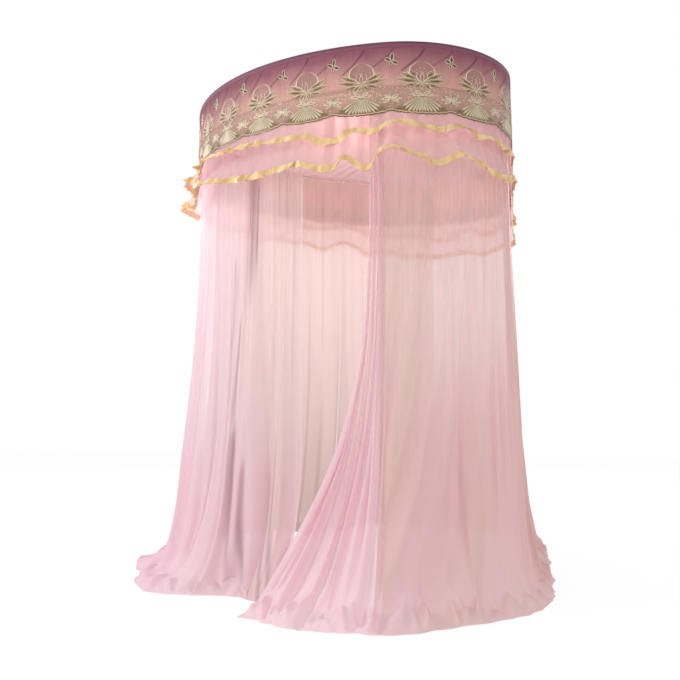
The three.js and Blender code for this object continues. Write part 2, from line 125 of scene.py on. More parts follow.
def paint(red, green, blue):  # a screen colour, 0 to 255, as a node colour
    parts = [part / 255 for part in (red, green, blue)]
    return [p / 12.92 if p <= 0.04045 else ((p + 0.055) / 1.055) ** 2.4 for p in parts] + [1]


def darker(colour, share):
    return [part * share for part in colour[:3]] + [1]


# Light and floor
studio = {
    "ambient": 0.66,
    "lamps": {
        # place, aim, size, power, colour
        "key": ((2.6, -5.2, 0.6), (0.2, -0.8, -1.1), 3.0, 150, (1.0, 0.98, 1.0)),
        "fill": ((5.5, 1.6, 0.4), (0.2, -0.6, -1.1), 3.0, 70, (1.0, 0.97, 0.96)),
        "far": ((-5.0, -2.0, 0.8), (0, -0.7, -1.1), 3.0, 90, (1.0, 0.97, 0.94)),
        "inside": ((0.55, -0.6, -0.46), (-1.0, -0.75, -0.14), 0.8, 24, (1.0, 0.97, 0.95)),
    },
    "floorHeight": -2.2005, "floorHalf": 9,
    "floorLight": 0.8, "floorGlow": 1.13, "floorColour": (0.62, 0.62, 0.62, 1),
}


def backdropMask(tree):  # the rays that see the white backdrop
    path = addNode(tree, "ShaderNodeLightPath").outputs
    shiny = addMath(tree, "MAXIMUM", path["Is Glossy Ray"], path["Is Transmission Ray"])
    return addMath(tree, "MAXIMUM", path["Is Camera Ray"], shiny)


def buildStudio():
    world = bpy.data.worlds.new("studio")
    scene.world = world
    world.use_nodes = True
    tree = world.node_tree
    tree.nodes.clear()
    soft = addNode(tree, "ShaderNodeBackground", {"Color": (1, 1, 1, 1), "Strength": studio["ambient"]})
    white = addNode(tree, "ShaderNodeBackground", {"Color": (1, 1, 1, 1), "Strength": 1})
    mix = addNode(tree, "ShaderNodeMixShader", {0: backdropMask(tree), 1: soft.outputs[0], 2: white.outputs[0]})
    addNode(tree, "ShaderNodeOutputWorld", {"Surface": mix.outputs[0]})
    for name, (place, aim, size, power, colour) in studio["lamps"].items():
        lamp = bpy.data.objects.new(name, bpy.data.lights.new(name, "AREA"))
        lamp.data.energy = power
        lamp.data.size = size
        lamp.data.color = colour
        lamp.location = place
        lamp.visible_camera = False
        lean = np.subtract(place, aim)
        level = math.hypot(lean[0], lean[1])
        lamp.rotation_euler = (math.atan2(level, lean[2]), 0, math.atan2(lean[0], -lean[1]))
        scene.collection.objects.link(lamp)

    floor = bmesh.new()
    bmesh.ops.create_grid(floor, x_segments=1, y_segments=1, size=studio["floorHalf"])
    bmesh.ops.translate(floor, verts=floor.verts, vec=(0, 0, studio["floorHeight"]))
    mesh = bpy.data.meshes.new("floor")
    floor.to_mesh(mesh)
    floor.free()
    piece = bpy.data.objects.new("floor", mesh)
    scene.collection.objects.link(piece)
    matter = bpy.data.materials.new("floor")
    matter.use_nodes = True
    tree = matter.node_tree
    tree.nodes.clear()
    matt = addNode(tree, "ShaderNodeBsdfDiffuse", {"Color": studio["floorColour"]})
    glow = addNode(tree, "ShaderNodeEmission", {"Color": (1, 1, 1, 1), "Strength": studio["floorGlow"]})
    share = addMath(tree, "MULTIPLY", backdropMask(tree), studio["floorLight"])
    both = addNode(tree, "ShaderNodeMixShader", {0: share, 1: matt.outputs[0], 2: glow.outputs[0]})
    addNode(tree, "ShaderNodeOutputMaterial", {"Surface": both.outputs[0]})
    mesh.materials.append(matter)
    print("studio ready")


buildStudio()

# The rail's plan
plan = {"noseRadius": 1.058, "bendRadius": 0.47, "floor": -2.2}
noseQuarter = plan["noseRadius"] * math.pi / 2
bendQuarter = plan["bendRadius"] * math.pi / 2
backHalf = plan["noseRadius"] - plan["bendRadius"]
railLength = 2 * (noseQuarter + bendQuarter + backHalf)


def planAt(distance):
    # points and outward turns on the rail line, by length from the nose tip round by the right
    along = np.mod(distance, railLength)
    onLeft = along > railLength / 2
    along = np.where(onLeft, railLength - along, along)
    onNose = along <= noseQuarter
    onBend = ~onNose & (along <= noseQuarter + bendQuarter)
    noseAngle = along / plan["noseRadius"]
    bendAngle = (along - noseQuarter) / plan["bendRadius"]
    turnX = np.where(onNose, np.sin(noseAngle), np.where(onBend, np.cos(bendAngle), 0))
    turnY = np.where(onNose, -np.cos(noseAngle), np.where(onBend, np.sin(bendAngle), 1))
    onBackX = np.where(onBend, backHalf + plan["bendRadius"] * turnX, backHalf - (along - noseQuarter - bendQuarter))
    x = np.where(onNose, plan["noseRadius"] * turnX, onBackX)
    onBackY = np.where(onBend, plan["bendRadius"] * turnY, plan["bendRadius"])
    y = np.where(onNose, plan["noseRadius"] * turnY, onBackY)
    side = np.where(onLeft, -1, 1)
    return x * side, y - plan["bendRadius"], turnX * side, turnY


def onPlan(distance, out, height):
    x, y, turnX, turnY = planAt(distance)
    return np.stack([x + turnX * out, y + turnY * out, np.broadcast_to(height, x.shape)], axis=-1)


# Waves and curves
def ripple(share, seed, lowest, highest):  # a smooth irregular wave of about one high, whole over a share of one
    chance = np.random.default_rng(seed)
    total = np.zeros_like(share)
    for count in range(lowest, highest + 1):
        total += chance.uniform(0.5, 1) * np.sin(2 * math.pi * (count * share + chance.random()))
    return total / math.sqrt(0.3 * (highest - lowest + 1))


def waves(chance, along, down, shortest, longest, wander, count=6):
    # uneven waves of about one high, whose crests swell, fade and wander sideways down the cloth
    total = np.zeros_like(along)
    for length in np.geomspace(shortest, longest, count) * chance.uniform(0.9, 1.1, count):
        lean, start, swell = chance.uniform(-1, 1), chance.random(), chance.random()
        strength = 1 + 0.45 * np.sin(2 * math.pi * (1.4 * down + 0.6 * along / longest + swell))
        total += strength * np.sin(2 * math.pi * (along / length + start + lean * wander * down))
    return total / math.sqrt(0.6 * count)


def smooth(low, high, value):
    share = np.clip((value - low) / (high - low), 0, 1)
    return share * share * (3 - 2 * share)


def follow(places, values, at):  # a smooth curve through given values
    places = np.asarray(places, float)
    values = np.asarray(values, float)
    slopes = np.gradient(values, places)
    step = np.clip(np.searchsorted(places, at, side="right") - 1, 0, len(places) - 2)
    span = places[step + 1] - places[step]
    share = np.clip((at - places[step]) / span, 0, 1)
    leaving = slopes[step] * span * (share ** 3 - 2 * share ** 2 + share)
    arriving = slopes[step + 1] * span * (share ** 3 - share ** 2)
    return (values[step] * (2 * share ** 3 - 3 * share ** 2 + 1) + leaving
            + values[step + 1] * (3 * share ** 2 - 2 * share ** 3) + arriving)


# Making pieces
def addPiece(name, mesh, matters, nodes, body="crown"):
    for matter in matters:
        mesh.materials.append(matter)
    mesh.shade_smooth()
    piece = bpy.data.objects.new(name, mesh)
    scene.collection.objects.link(piece)
    if nodes:
        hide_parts(*nodes)
    if body:
        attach(piece, body)
    return piece


def clothMesh(name, columns, rows, shape, closed=False, fields=None):
    # A grid with its UV map, laid out by shape(across, up) and closed round the ring where asked
    cloth = bmesh.new()
    cloth.loops.layers.uv.new("UVMap")
    bmesh.ops.create_grid(cloth, x_segments=columns, y_segments=rows, size=0.5, calc_uvs=True)
    mesh = bpy.data.meshes.new(name)
    cloth.to_mesh(mesh)
    cloth.free()
    flat = np.empty(len(mesh.vertices) * 3)
    mesh.vertices.foreach_get("co", flat)
    across, up = flat.reshape(-1, 3)[:, 0] + 0.5, flat.reshape(-1, 3)[:, 1] + 0.5
    mesh.vertices.foreach_set("co", shape(across, up).ravel())
    for field, make in (fields or {}).items():
        values = make(across, up).astype(np.float32)
        mesh.attributes.new(field, "FLOAT", "POINT").data.foreach_set("value", values)
    if closed:
        cloth = bmesh.new()
        cloth.from_mesh(mesh)
        bmesh.ops.remove_doubles(cloth, verts=cloth.verts, dist=1e-6)
        cloth.to_mesh(mesh)
        cloth.free()
    mesh.update()
    print(name, "cloth", round(sum(face.area for face in mesh.polygons), 3), "m2")
    return mesh


# Shared effects
def newGroup(name, inputs, outputs):
    group = bpy.data.node_groups.new(name, "ShaderNodeTree")
    for label, kind, value in inputs:
        socket = group.interface.new_socket(label, in_out="INPUT", socket_type=kind)
        if value is not None:
            socket.default_value = value
    for label, kind in outputs:
        group.interface.new_socket(label, in_out="OUTPUT", socket_type=kind)
    return group, addNode(group, "NodeGroupInput"), addNode(group, "NodeGroupOutput")


def buildWeave():  # crossing threads, by a place in metres
    inputs = [("Place", "NodeSocketVector", None), ("Threads", "NodeSocketFloat", 400)]
    group, given, made = newGroup("threadWeave", inputs, [("Height", "NodeSocketFloat")])
    place, threads = given.outputs["Place"], given.outputs["Threads"]
    heights = []
    for direction in ("X", "Y"):
        values = {"Vector": place, "Scale": threads, "Distortion": 0.4, "Detail": 1}
        heights.append(addNode(group, "ShaderNodeTexWave", values, bands_direction=direction).outputs["Fac"])
    group.links.new(addMath(group, "MAXIMUM", *heights), made.inputs["Height"])
    return group


def buildStreaks():  # long uneven streaks along the fall of a cloth
    inputs = [("Place", "NodeSocketVector", None), ("Count", "NodeSocketFloat", 60), ("Length", "NodeSocketFloat", 1)]
    group, given, made = newGroup("fallStreaks", inputs, [("Fac", "NodeSocketFloat")])
    size = addNode(group, "ShaderNodeCombineXYZ", {"X": given.outputs["Count"], "Y": given.outputs["Length"], "Z": 1})
    values = {0: given.outputs["Place"], 1: size.outputs[0]}
    place = addNode(group, "ShaderNodeVectorMath", values, operation="MULTIPLY").outputs[0]
    group.links.new(addRange(group, addNoise(group, place, 1, 3, 0.6), 0.32, 0.68), made.inputs["Fac"])
    return group


weave = buildWeave()
streaks = buildStreaks()


def addThreads(tree, place, threads):
    return addNode(tree, "ShaderNodeGroup", {"Place": place, "Threads": threads}, node_tree=weave).outputs[0]


def addStreaks(tree, place, count, length):
    values = {"Place": place, "Count": count, "Length": length}
    return addNode(tree, "ShaderNodeGroup", values, node_tree=streaks).outputs[0]


# Finishes
def startMatter(name, roughness, **sockets):
    matter = bpy.data.materials.new(name)
    matter.use_nodes = True
    tree = matter.node_tree
    shader = tree.nodes["Principled BSDF"]
    shader.inputs["Roughness"].default_value = roughness
    for label, value in sockets.items():
        shader.inputs[label].default_value = value
    return matter, tree, shader


def joinShader(tree, shader, tint, normal):
    tree.links.new(tint, shader.inputs["Base Color"])
    tree.links.new(normal, shader.inputs["Normal"])


def metresOnCloth(tree, width, length):
    coords = addNode(tree, "ShaderNodeUVMap", uv_map="UVMap").outputs[0]
    return addNode(tree, "ShaderNodeMapping", {"Vector": coords, "Scale": (width, length, 1)}).outputs[0]


def letThrough(tree, shader, tint, normal, passes, alpha=None):
    # Thin cloth shows the light that falls on its back, and what is behind it where it is sheer
    through = addNode(tree, "ShaderNodeBsdfTranslucent", {"Color": tint, "Normal": normal})
    seen = addNode(tree, "ShaderNodeMixShader", {0: passes, 1: shader.outputs[0], 2: through.outputs[0]})
    if alpha is not None:
        clear = addNode(tree, "ShaderNodeBsdfTransparent")
        seen = addNode(tree, "ShaderNodeMixShader", {0: alpha, 1: clear.outputs[0], 2: seen.outputs[0]})
    tree.links.new(seen.outputs[0], tree.nodes["Material Output"].inputs["Surface"])


sheer = {
    "roughness": 0.8, "sockets": {"Sheen Weight": 0.15, "Sheen Roughness": 0.5, "Specular IOR Level": 0.2},
    "threads": 260, "relief": 0.08, "threadHeight": 0.0006, "passes": 0.45,  # share of light that passes
    "bandLength": 0.45,  # how fast the second tint's bands change down the cloth
}


def voile(name, width, length, look):
    # Sheer cloth: denser where its folds stand steep or lie on each other, with streaks along the fall
    matter, tree, shader = startMatter(name, sheer["roughness"], **sheer["sockets"])
    place = metresOnCloth(tree, width, length)
    streak = addStreaks(tree, place, look["streaks"], look["streakLength"])
    thick = addMath(tree, "MULTIPLY_ADD", streak, look["streakShare"], readField(tree, "dense"), clamp=True)
    alpha = addRange(tree, thick, toLow=look["sheer"], toHigh=look["solid"])
    tint = addMix(tree, thick, look["thin"], look["thick"])
    if "second" in look:  # broad bands of a second tint, which may lean
        parts = splitPlace(tree, place)
        leant = addMath(tree, "MULTIPLY_ADD", parts["Y"], look.get("slant", 0), parts["X"])
        laid = addNode(tree, "ShaderNodeCombineXYZ", {"X": leant, "Y": parts["Y"]}).outputs[0]
        bands = addStreaks(tree, laid, look["secondCount"], sheer["bandLength"])
        most = addMath(tree, "MULTIPLY", readField(tree, "second"), look["secondShare"])
        tint = addMix(tree, addMath(tree, "MULTIPLY", bands, most), tint, look["second"])
    # painted shade: dark lines standing for deep narrow folds
    if "foldShade" in look:
        tint = addMix(tree, readField(tree, "foldShade"), tint, look["foldShade"])
    bump = addBump(tree, addThreads(tree, place, sheer["threads"]), sheer["relief"], sheer["threadHeight"])
    joinShader(tree, shader, tint, bump)
    letThrough(tree, shader, tint, bump, look.get("passes", sheer["passes"]), alpha)
    return matter


def threadMatter(name, colour, dark, roughness, scale, sheen=0.25):  # stitched thread
    matter, tree, shader = startMatter(name, roughness, **{"Sheen Weight": sheen, "Specular IOR Level": 0.4})
    stitch = addNoise(tree, objectPlace(tree), scale, 2, 0.7)
    tint = addMix(tree, addRange(tree, stitch, 0.38, 0.6), dark, colour)
    joinShader(tree, shader, tint, addBump(tree, stitch, 0.5, 0.0008))
    return matter


def metalMatter(name, colour, roughness, grain):
    matter, tree, shader = startMatter(name, roughness, Metallic=1.0)
    rub = addNoise(tree, objectPlace(tree), grain, 4, 0.65)
    rough = addRange(tree, rub, toLow=roughness - 0.1, toHigh=roughness + 0.14)
    tree.links.new(rough, shader.inputs["Roughness"])
    tree.links.new(addMix(tree, rub, colour, darker(colour, 0.82)), shader.inputs["Base Color"])
    return matter


def plainMatter(name, colour, roughness, grain, depth):
    matter, tree, shader = startMatter(name, roughness, **{"Specular IOR Level": 0.35})
    spots = addNoise(tree, objectPlace(tree), grain, 3)
    joinShader(tree, shader, addMix(tree, spots, darker(colour, 0.9), colour), addBump(tree, spots, 0.25, depth))
    return matter


# Metal and nylon of the frame, by a part of the node's name
finishes = {
    "rail_": metalMatter("brushedAluminium", (0.87, 0.88, 0.89, 1), 0.46, 60),
    "splice_": metalMatter("plainSteel", (0.6, 0.61, 0.63, 1), 0.4, 90),
    "bracket_": metalMatter("zincedSteel", (0.66, 0.67, 0.68, 1), 0.34, 120),
    "glider": plainMatter("nylon", paint(243, 240, 233), 0.45, 300, 0.0002),
    "stop_": plainMatter("stopNylon", paint(238, 235, 229), 0.5, 300, 0.0002),
}


def dressFrame():
    for name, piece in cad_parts.items():
        for start, matter in finishes.items():
            if start in name:
                if not piece.material_slots:
                    piece.data.materials.append(matter)
                for slot in piece.material_slots:
                    slot.material = matter
    print("frame dressed")


dressFrame()

# Hook and loop tapes between the rail, the lining and the rim
tapes = {
    "top": -0.0089, "foot": -0.0187, "outs": {"hook": 0.0099, "loop": 0.0133},
    "pile": 0.0004, "unevenness": 0.3, "colour": paint(233, 214, 220), "roughness": 0.95, "grain": 1500,
}


def buildTape(name, out):
    def shape(across, up):
        height = tapes["foot"] + (tapes["top"] - tapes["foot"]) * up
        pile = tapes["pile"] * ripple(across, 71, 90, 120) * tapes["unevenness"]
        return onPlan(railLength * across, out + pile, height)

    matter = plainMatter(name + "Pile", tapes["colour"], tapes["roughness"], tapes["grain"], tapes["pile"])
    mesh = clothMesh(name + "Tape", 720, 3, shape, closed=True)
    piece = addPiece(name + "Tape", mesh, [matter], ["touch_strip_" + name])
    return piece


hookTape = buildTape("hook", tapes["outs"]["hook"])
loopTape = buildTape("loop", tapes["outs"]["loop"])
print("tapes made")

# Rim binding
rim = {
    "inside": 0.0152, "thickness": 0.007, "top": -0.001, "height": 0.022,
    "seam": 25,  # degrees left open on the inner side, above and below
    "roundness": 0.7, "pucker": 0.05,
    # lower: a painted highlight that makes the binding lighter along its lower edge
    "colour": paint(86, 34, 58), "worn": paint(118, 62, 86), "lower": paint(134, 78, 98),
    "rimHighlightFrom": -0.009, "rimHighlightTo": -0.014, "rimHighlightShare": 0.75,
}


def buildRim():
    half = rim["thickness"] / 2
    middle = rim["inside"] + half
    rise = rim["height"] / 2

    def rounded(side):
        return np.sign(side) * np.abs(side) ** rim["roundness"]

    def shape(across, up):
        turn = math.pi + math.radians(rim["seam"]) + 2 * (math.pi - math.radians(rim["seam"])) * up
        swell = 1 + rim["pucker"] * ripple(across, 5, 30, 44)
        out = middle + half * rounded(np.cos(turn)) * np.minimum(1, swell)
        return onPlan(railLength * across, out, rim["top"] - rise + rise * rounded(np.sin(turn)))

    matter, tree, shader = startMatter("plumBinding", 0.75, **{"Sheen Weight": 0.35, "Sheen Roughness": 0.4})
    place = metresOnCloth(tree, railLength, 0.06)
    tint = addMix(tree, addNoise(tree, place, 38, 4), rim["colour"], rim["worn"])
    height = splitPlace(tree, objectPlace(tree))["Z"]
    # painted highlight: lighter towards the binding's lower edge
    lower = addRange(tree, height, rim["rimHighlightTo"], rim["rimHighlightFrom"], rim["rimHighlightShare"], 0)
    tint = addMix(tree, lower, tint, rim["lower"])
    joinShader(tree, shader, tint, addBump(tree, addThreads(tree, place, 330), 0.4, 0.0005))
    mesh = clothMesh("rimBinding", 720, 20, shape, closed=True)
    piece = addPiece("rimBinding", mesh, [matter], ["rim_binding"])
    print("rim made")


buildRim()

# Lining behind the valance
lining = {
    "out": 0.0139, "top": -0.0195, "foot": -0.19, "wave": 0.0008, "density": 0.25, "hemDensity": 0.3,
    "look": {"streaks": 70, "streakLength": 3, "streakShare": 0.5, "sheer": 0.93, "solid": 0.98, "passes": 0.5,
             "thin": paint(252, 222, 212), "thick": paint(246, 212, 204)},
}


def buildLining():
    def shape(across, up):
        height = lining["foot"] + (lining["top"] - lining["foot"]) * up
        out = lining["out"] + lining["wave"] * ripple(across, 11, 60, 76) * (1 - up)
        return onPlan(railLength * across, out, height)

    def dense(across, up):
        return lining["density"] + lining["hemDensity"] * smooth(0.92, 1, 1 - up)

    matter = voile("liningTulle", railLength, 0.17, lining["look"])
    mesh = clothMesh("liningBand", 900, 8, shape, closed=True, fields={"dense": dense})
    piece = addPiece("liningBand", mesh, [matter], ["lining_band"])
    print("lining made")


buildLining()

# Valance voile
valance = {
    "repeats": 26, "shift": -0.1,  # of one repeat
    "out": 0.0204, "top": -0.0228, "foot": -0.192, "wave": 0.0006,
    "creaseDepth": 0.0022, "creaseWidth": 0.006, "creaseBend": 0.05, "creaseStray": 0.12,
    # start and end of each crease, in shares of a repeat and metres below the ceiling, strength, how rare
    "creases": [((0.62, -0.024), (0.02, -0.124), 1.0, 0.0), ((1.0, -0.024), (0.66, -0.108), 0.9, 0.3),
                ((0.62, -0.024), (0.86, -0.13), 0.8, 0.72)],
    "topColour": paint(150, 92, 110), "lowColour": paint(222, 181, 171), "fadeFrom": 0.055, "fadeTo": 0.185,
    # the crease colour is partly the doubled cloth in the creases and partly painted shade
    "creaseShadeColour": paint(104, 50, 70), "dotColour": paint(228, 206, 180),
    # painted shade: the valance and the lace are made darker round the front
    "frontShadeLevel": 0.8, "frontShadeFrom": 0.6, "frontShadeTo": 1.3,  # metres round from the nose tip
    "sheer": 0.8, "solid": 0.94, "passes": 0.3,
}
repeatLength = railLength / valance["repeats"]


def repeatShare(distance):  # from minus a half to a half, zero in the middle of a scallop
    return np.mod(distance / repeatLength - valance["shift"] + 0.5, 1) - 0.5


def creaseDepthAt(distance, height):
    depth = np.zeros_like(distance)
    share = repeatShare(distance)
    whole = np.floor(distance / repeatLength - valance["shift"] + 0.5)
    for number, ((fromShare, fromHeight), (toShare, toHeight), strength, rare) in enumerate(valance["creases"]):
        fallen = (height - fromHeight) / (toHeight - fromHeight)
        for turn in (-1, 0, 1):  # creases reach into the next repeats
            chance = 0.5 + 0.5 * np.sin(12.9898 * (whole - turn) + 4.1 * number)  # differs from repeat to repeat
            bend = valance["creaseBend"] * np.sin(math.pi * np.clip(fallen, 0, 1)) * (chance - 0.2)
            stray = valance["creaseStray"] * (chance - 0.5)
            line = fromShare + (toShare - fromShare) * fallen + bend + turn + stray
            gap = (share - line) * repeatLength / valance["creaseWidth"]
            fade = smooth(-0.02, 0.05, fallen) * (1 - smooth(0.6 + 0.4 * chance, 1.05 + 0.3 * chance, fallen))
            drawn = strength * (chance >= rare) * (0.45 + 0.55 * chance)
            depth = np.maximum(depth, drawn * fade * np.exp(-gap * gap * 1.6))
    return depth


def frontShadeAt(distance):  # painted shade: darker round the front
    around = np.abs(np.mod(distance + railLength / 2, railLength) - railLength / 2)
    return valance["frontShadeLevel"] + (1 - valance["frontShadeLevel"]) * smooth(valance["frontShadeFrom"], valance["frontShadeTo"], around)


def frontShadeField(across, up):
    return frontShadeAt(railLength * across)


def valanceOut(distance, height):  # the voile's own surface
    share = np.mod(distance, railLength) / railLength
    soft = valance["wave"] * ripple(share, 21, 70, 90)
    return valance["out"] + soft - valance["creaseDepth"] * 0.4 * creaseDepthAt(distance, height)


def valanceMatter(tall):
    sockets = {"Sheen Weight": 0.2, "Sheen Roughness": 0.4, "Specular IOR Level": 0.25}
    matter, tree, shader = startMatter("ombreVoile", 0.7, **sockets)
    place = metresOnCloth(tree, railLength, tall)
    height = splitPlace(tree, place)["Y"]
    shifted = addMath(tree, "MULTIPLY_ADD", addNoise(tree, place, 9, 3), 0.06, height)
    rise = addRange(tree, shifted, valance["fadeFrom"], valance["fadeTo"])
    tint = addMix(tree, rise, valance["lowColour"], valance["topColour"])
    lit = addRange(tree, addStreaks(tree, place, 55, 5), toLow=0.92, toHigh=1.08)
    # painted shade: the valance tint is scaled darker round the front
    tint = addLevel(tree, tint, addMath(tree, "MULTIPLY", lit, readField(tree, "frontShade")))
    low = addRange(tree, height, 0.03, 0.1, 0.7, 0)
    tint = addMix(tree, addDots(tree, place, 120, 0.18, 0.3, low), tint, valance["dotColour"])
    # painted shade, with the doubled cloth: darker along the creases
    tint = addMix(tree, readField(tree, "creaseShade"), tint, valance["creaseShadeColour"])
    alpha = addRange(tree, height, 0, tall, valance["sheer"], valance["solid"])
    bump = addBump(tree, addThreads(tree, place, 260), 0.12, 0.0005)
    joinShader(tree, shader, tint, bump)
    letThrough(tree, shader, tint, bump, valance["passes"], alpha)
    return matter


def buildValance():
    tall = valance["top"] - valance["foot"]

    def shape(across, up):
        height = valance["foot"] + tall * up
        distance = railLength * across
        return onPlan(distance, valanceOut(distance, height), height)

    def creaseShade(across, up):
        return creaseDepthAt(railLength * across, valance["foot"] + tall * up)

    fields = {"creaseShade": creaseShade, "frontShade": frontShadeField}
    mesh = clothMesh("valanceVoile", 80 * valance["repeats"], 24, shape, closed=True, fields=fields)
    piece = addPiece("valanceVoile", mesh, [valanceMatter(tall)], ["valance_band"])
    print("valance made")


buildValance()

# Lace edging
lace = {
    "out": 0.0236, "top": -0.172, "valley": -0.266, "lowest": -0.288, "wave": 0.0005,
    "broad": 0.52, "small": 0.003, "smallCount": 9,  # the scallop's half width in shares, and the small ones on it
    "hub": -0.216, "fanAngle": 63, "fanReach": 0.086, "sprayHeight": -0.226, "columns": 56,
    "ground": paint(114, 90, 62), "mesh": paint(174, 150, 110),
    "net": paint(186, 150, 134), "dots": paint(230, 208, 170), "netFade": 0.17,
    # lowest and highest above the foot, colour, deep colour, how far its small loops stand up
    "trims": {
        "laceCord": (-0.0012, 0.0024, paint(98, 72, 58), paint(74, 52, 44), 0),
        "laceLoops": (0.0028, 0.0056, paint(222, 202, 162), paint(186, 160, 116), 0.0026),
    },
}


def laceFoot(distance):  # the scalloped edge: a broad scallop for each repeat, with small ones along it
    share = repeatShare(distance)
    broad = np.sqrt(np.clip(1 - (share / lace["broad"]) ** 2, 0, 1))
    small = np.abs(np.sin(math.pi * share * lace["smallCount"]))
    return lace["valley"] + (lace["lowest"] - lace["valley"]) * broad - lace["small"] * small


def laceWorked(distance, height):  # closely worked in the fans, in the sprays between them and along the edge
    side = repeatShare(distance) * repeatLength
    drop = lace["hub"] - height
    angle = np.degrees(np.arctan2(np.abs(side), drop))
    fan = (1 - smooth(lace["fanAngle"] - 3, lace["fanAngle"] + 4, angle)) * smooth(-0.004, 0.004, drop)
    edge = 1 - smooth(0.007, 0.018, height - laceFoot(distance))
    beside = (repeatLength / 2 - np.abs(side)) / 0.036
    spray = 1 - smooth(0.75, 1.1, np.hypot(beside, (height - lace["sprayHeight"]) / 0.02))
    low = 0.35 * (1 - smooth(-0.262, -0.205, height))
    return np.clip(np.maximum.reduce([fan, edge, 0.7 * spray, low]), 0, 1)


def laceMatter():
    matter, tree, shader = startMatter("goldLace", 0.6, **{"Sheen Weight": 0.2, "Specular IOR Level": 0.4})
    place = metresOnCloth(tree, railLength, 0.11)
    values = {"Vector": place, "Scale": 200}
    knots = addNode(tree, "ShaderNodeTexVoronoi", values, feature="DISTANCE_TO_EDGE").outputs["Distance"]
    thread = addRange(tree, knots, 0.02, 0.16, 1, 0)
    patches = addRange(tree, addNoise(tree, place, 90, 3, 0.7), 0.38, 0.62)
    close = addMix(tree, addMath(tree, "MULTIPLY", thread, patches), lace["ground"], lace["mesh"])
    dots = addDots(tree, place, 120, 0.2, 0.34, 1)
    sparse = addMix(tree, dots, lace["net"], lace["dots"])
    worked = readField(tree, "worked")
    # painted shade: the lace tint is scaled darker round the front
    tint = addLevel(tree, addMix(tree, worked, sparse, close), readField(tree, "frontShade"))
    least = addRange(tree, readField(tree, "net"), toLow=0.05, toHigh=0.82)
    alpha = addRange(tree, addMath(tree, "MAXIMUM", worked, dots), toLow=least, toHigh=0.98)
    bump = addBump(tree, thread, 0.5, 0.001)
    joinShader(tree, shader, tint, bump)
    letThrough(tree, shader, tint, bump, 0.1, alpha)
    return matter


def buildLace():
    columns = lace["columns"] * valance["repeats"]

    def heightAt(across, up):
        foot = laceFoot(railLength * across)
        return foot + (lace["top"] - foot) * up

    def shape(across, up):
        out = lace["out"] + lace["wave"] * ripple(across, 31, 60, 84) * (1 - up)
        return onPlan(railLength * across, out, heightAt(across, up))

    def worked(across, up):
        return laceWorked(railLength * across, heightAt(across, up))

    def net(across, up):
        return smooth(0.0, lace["netFade"], 1 - up)

    fields = {"worked": worked, "net": net, "frontShade": frontShadeField}
    mesh = clothMesh("laceEdging", columns, 24, shape, closed=True, fields=fields)
    piece = addPiece("laceEdging", mesh, [laceMatter()], ["lace_edging"])
    for name, (low, high, colour, deep, loop) in lace["trims"].items():
        def sewn(across, up):  # a cord sewn along the scalloped edge
            distance = railLength * across
            loops = loop * np.abs(np.sin(math.pi * across * valance["repeats"] * 18))
            height = laceFoot(distance) + low + (high - low + loops) * up
            return onPlan(distance, lace["out"] + 0.0004 + 0.0012 * np.sin(math.pi * up), height)

        mesh = clothMesh(name, columns, 4, sewn, closed=True)
        addPiece(name, mesh, [threadMatter(name + "Thread", colour, deep, 0.6, 1200)], [])
    print("lace made")


buildLace()

# Embroidery: a petal is its foot, degrees from upright, length, width, kind, what is inside it, and its layer
embroidery = {
    "lift": 0.0005, "layerStep": 0.0005, "cord": 0.0022,
    "wide": 0.04, "wideCord": 1.6, "rows": 6, "wideRows": 10,  # a wide petal has a thicker cord and more rows
    # half widths of a petal from its foot to its tip
    "profiles": {
        "round": ([0, 0.12, 0.3, 0.55, 0.74, 0.86, 0.94, 1], [0.25, 0.62, 0.93, 1, 0.86, 0.58, 0.34, 0]),
        "leaf": ([0, 0.2, 0.45, 0.7, 0.9, 1], [0.1, 0.6, 1, 0.8, 0.36, 0]),
        "drop": ([0, 0.3, 0.7, 0.9, 1], [0.22, 0.45, 0.88, 1, 0.3]),
    },
    "heights": [0, 0.0016, 0.0006, 0.0009, 0.0011, 0.0009, 0.0006, 0.0016, 0],
}
lotus = {
    "foot": (0, -0.166), "petal": (0.088, 0.1), "inner": (17, 0.05, 0.03),
    # degrees, length, width and layer of the leaves on each side
    "leaves": ((46, 0.08, 0.03, 0), (64, 0.096, 0.024, 2), (82, 0.1, 0.023, 3), (103, 0.074, 0.022, 2),
               (128, 0.05, 0.019, 3), (158, 0.036, 0.015, 2)),
    "stamens": ((-0.016, 0.046), (-0.006, 0.052), (0.006, 0.05), (0.015, 0.044), (0, 0.04)),
    "sprigHeight": -0.08,
    "sprig": ((8, 0.036, 0.016), (-62, 0.03, 0.015), (112, 0.032, 0.015), (190, 0.021, 0.011),
              (60, 0.017, 0.008)),
}
fan = {
    "ribs": 6, "ribStep": 9.9, "ribWidth": 0.0072, "ribStart": 0.01, "drop": 0.064, "knot": (0.0075, 0.006),
    "wings": ((58, 0.036, 0.011), (86, 0.046, 0.012)),
    "sprayPetal": (0.02, 0.014), "sprayTurn": 12,
    "sprayWidth": 0.011, "spray": ((96, 0.042), (124, 0.037), (66, 0.031)),
}


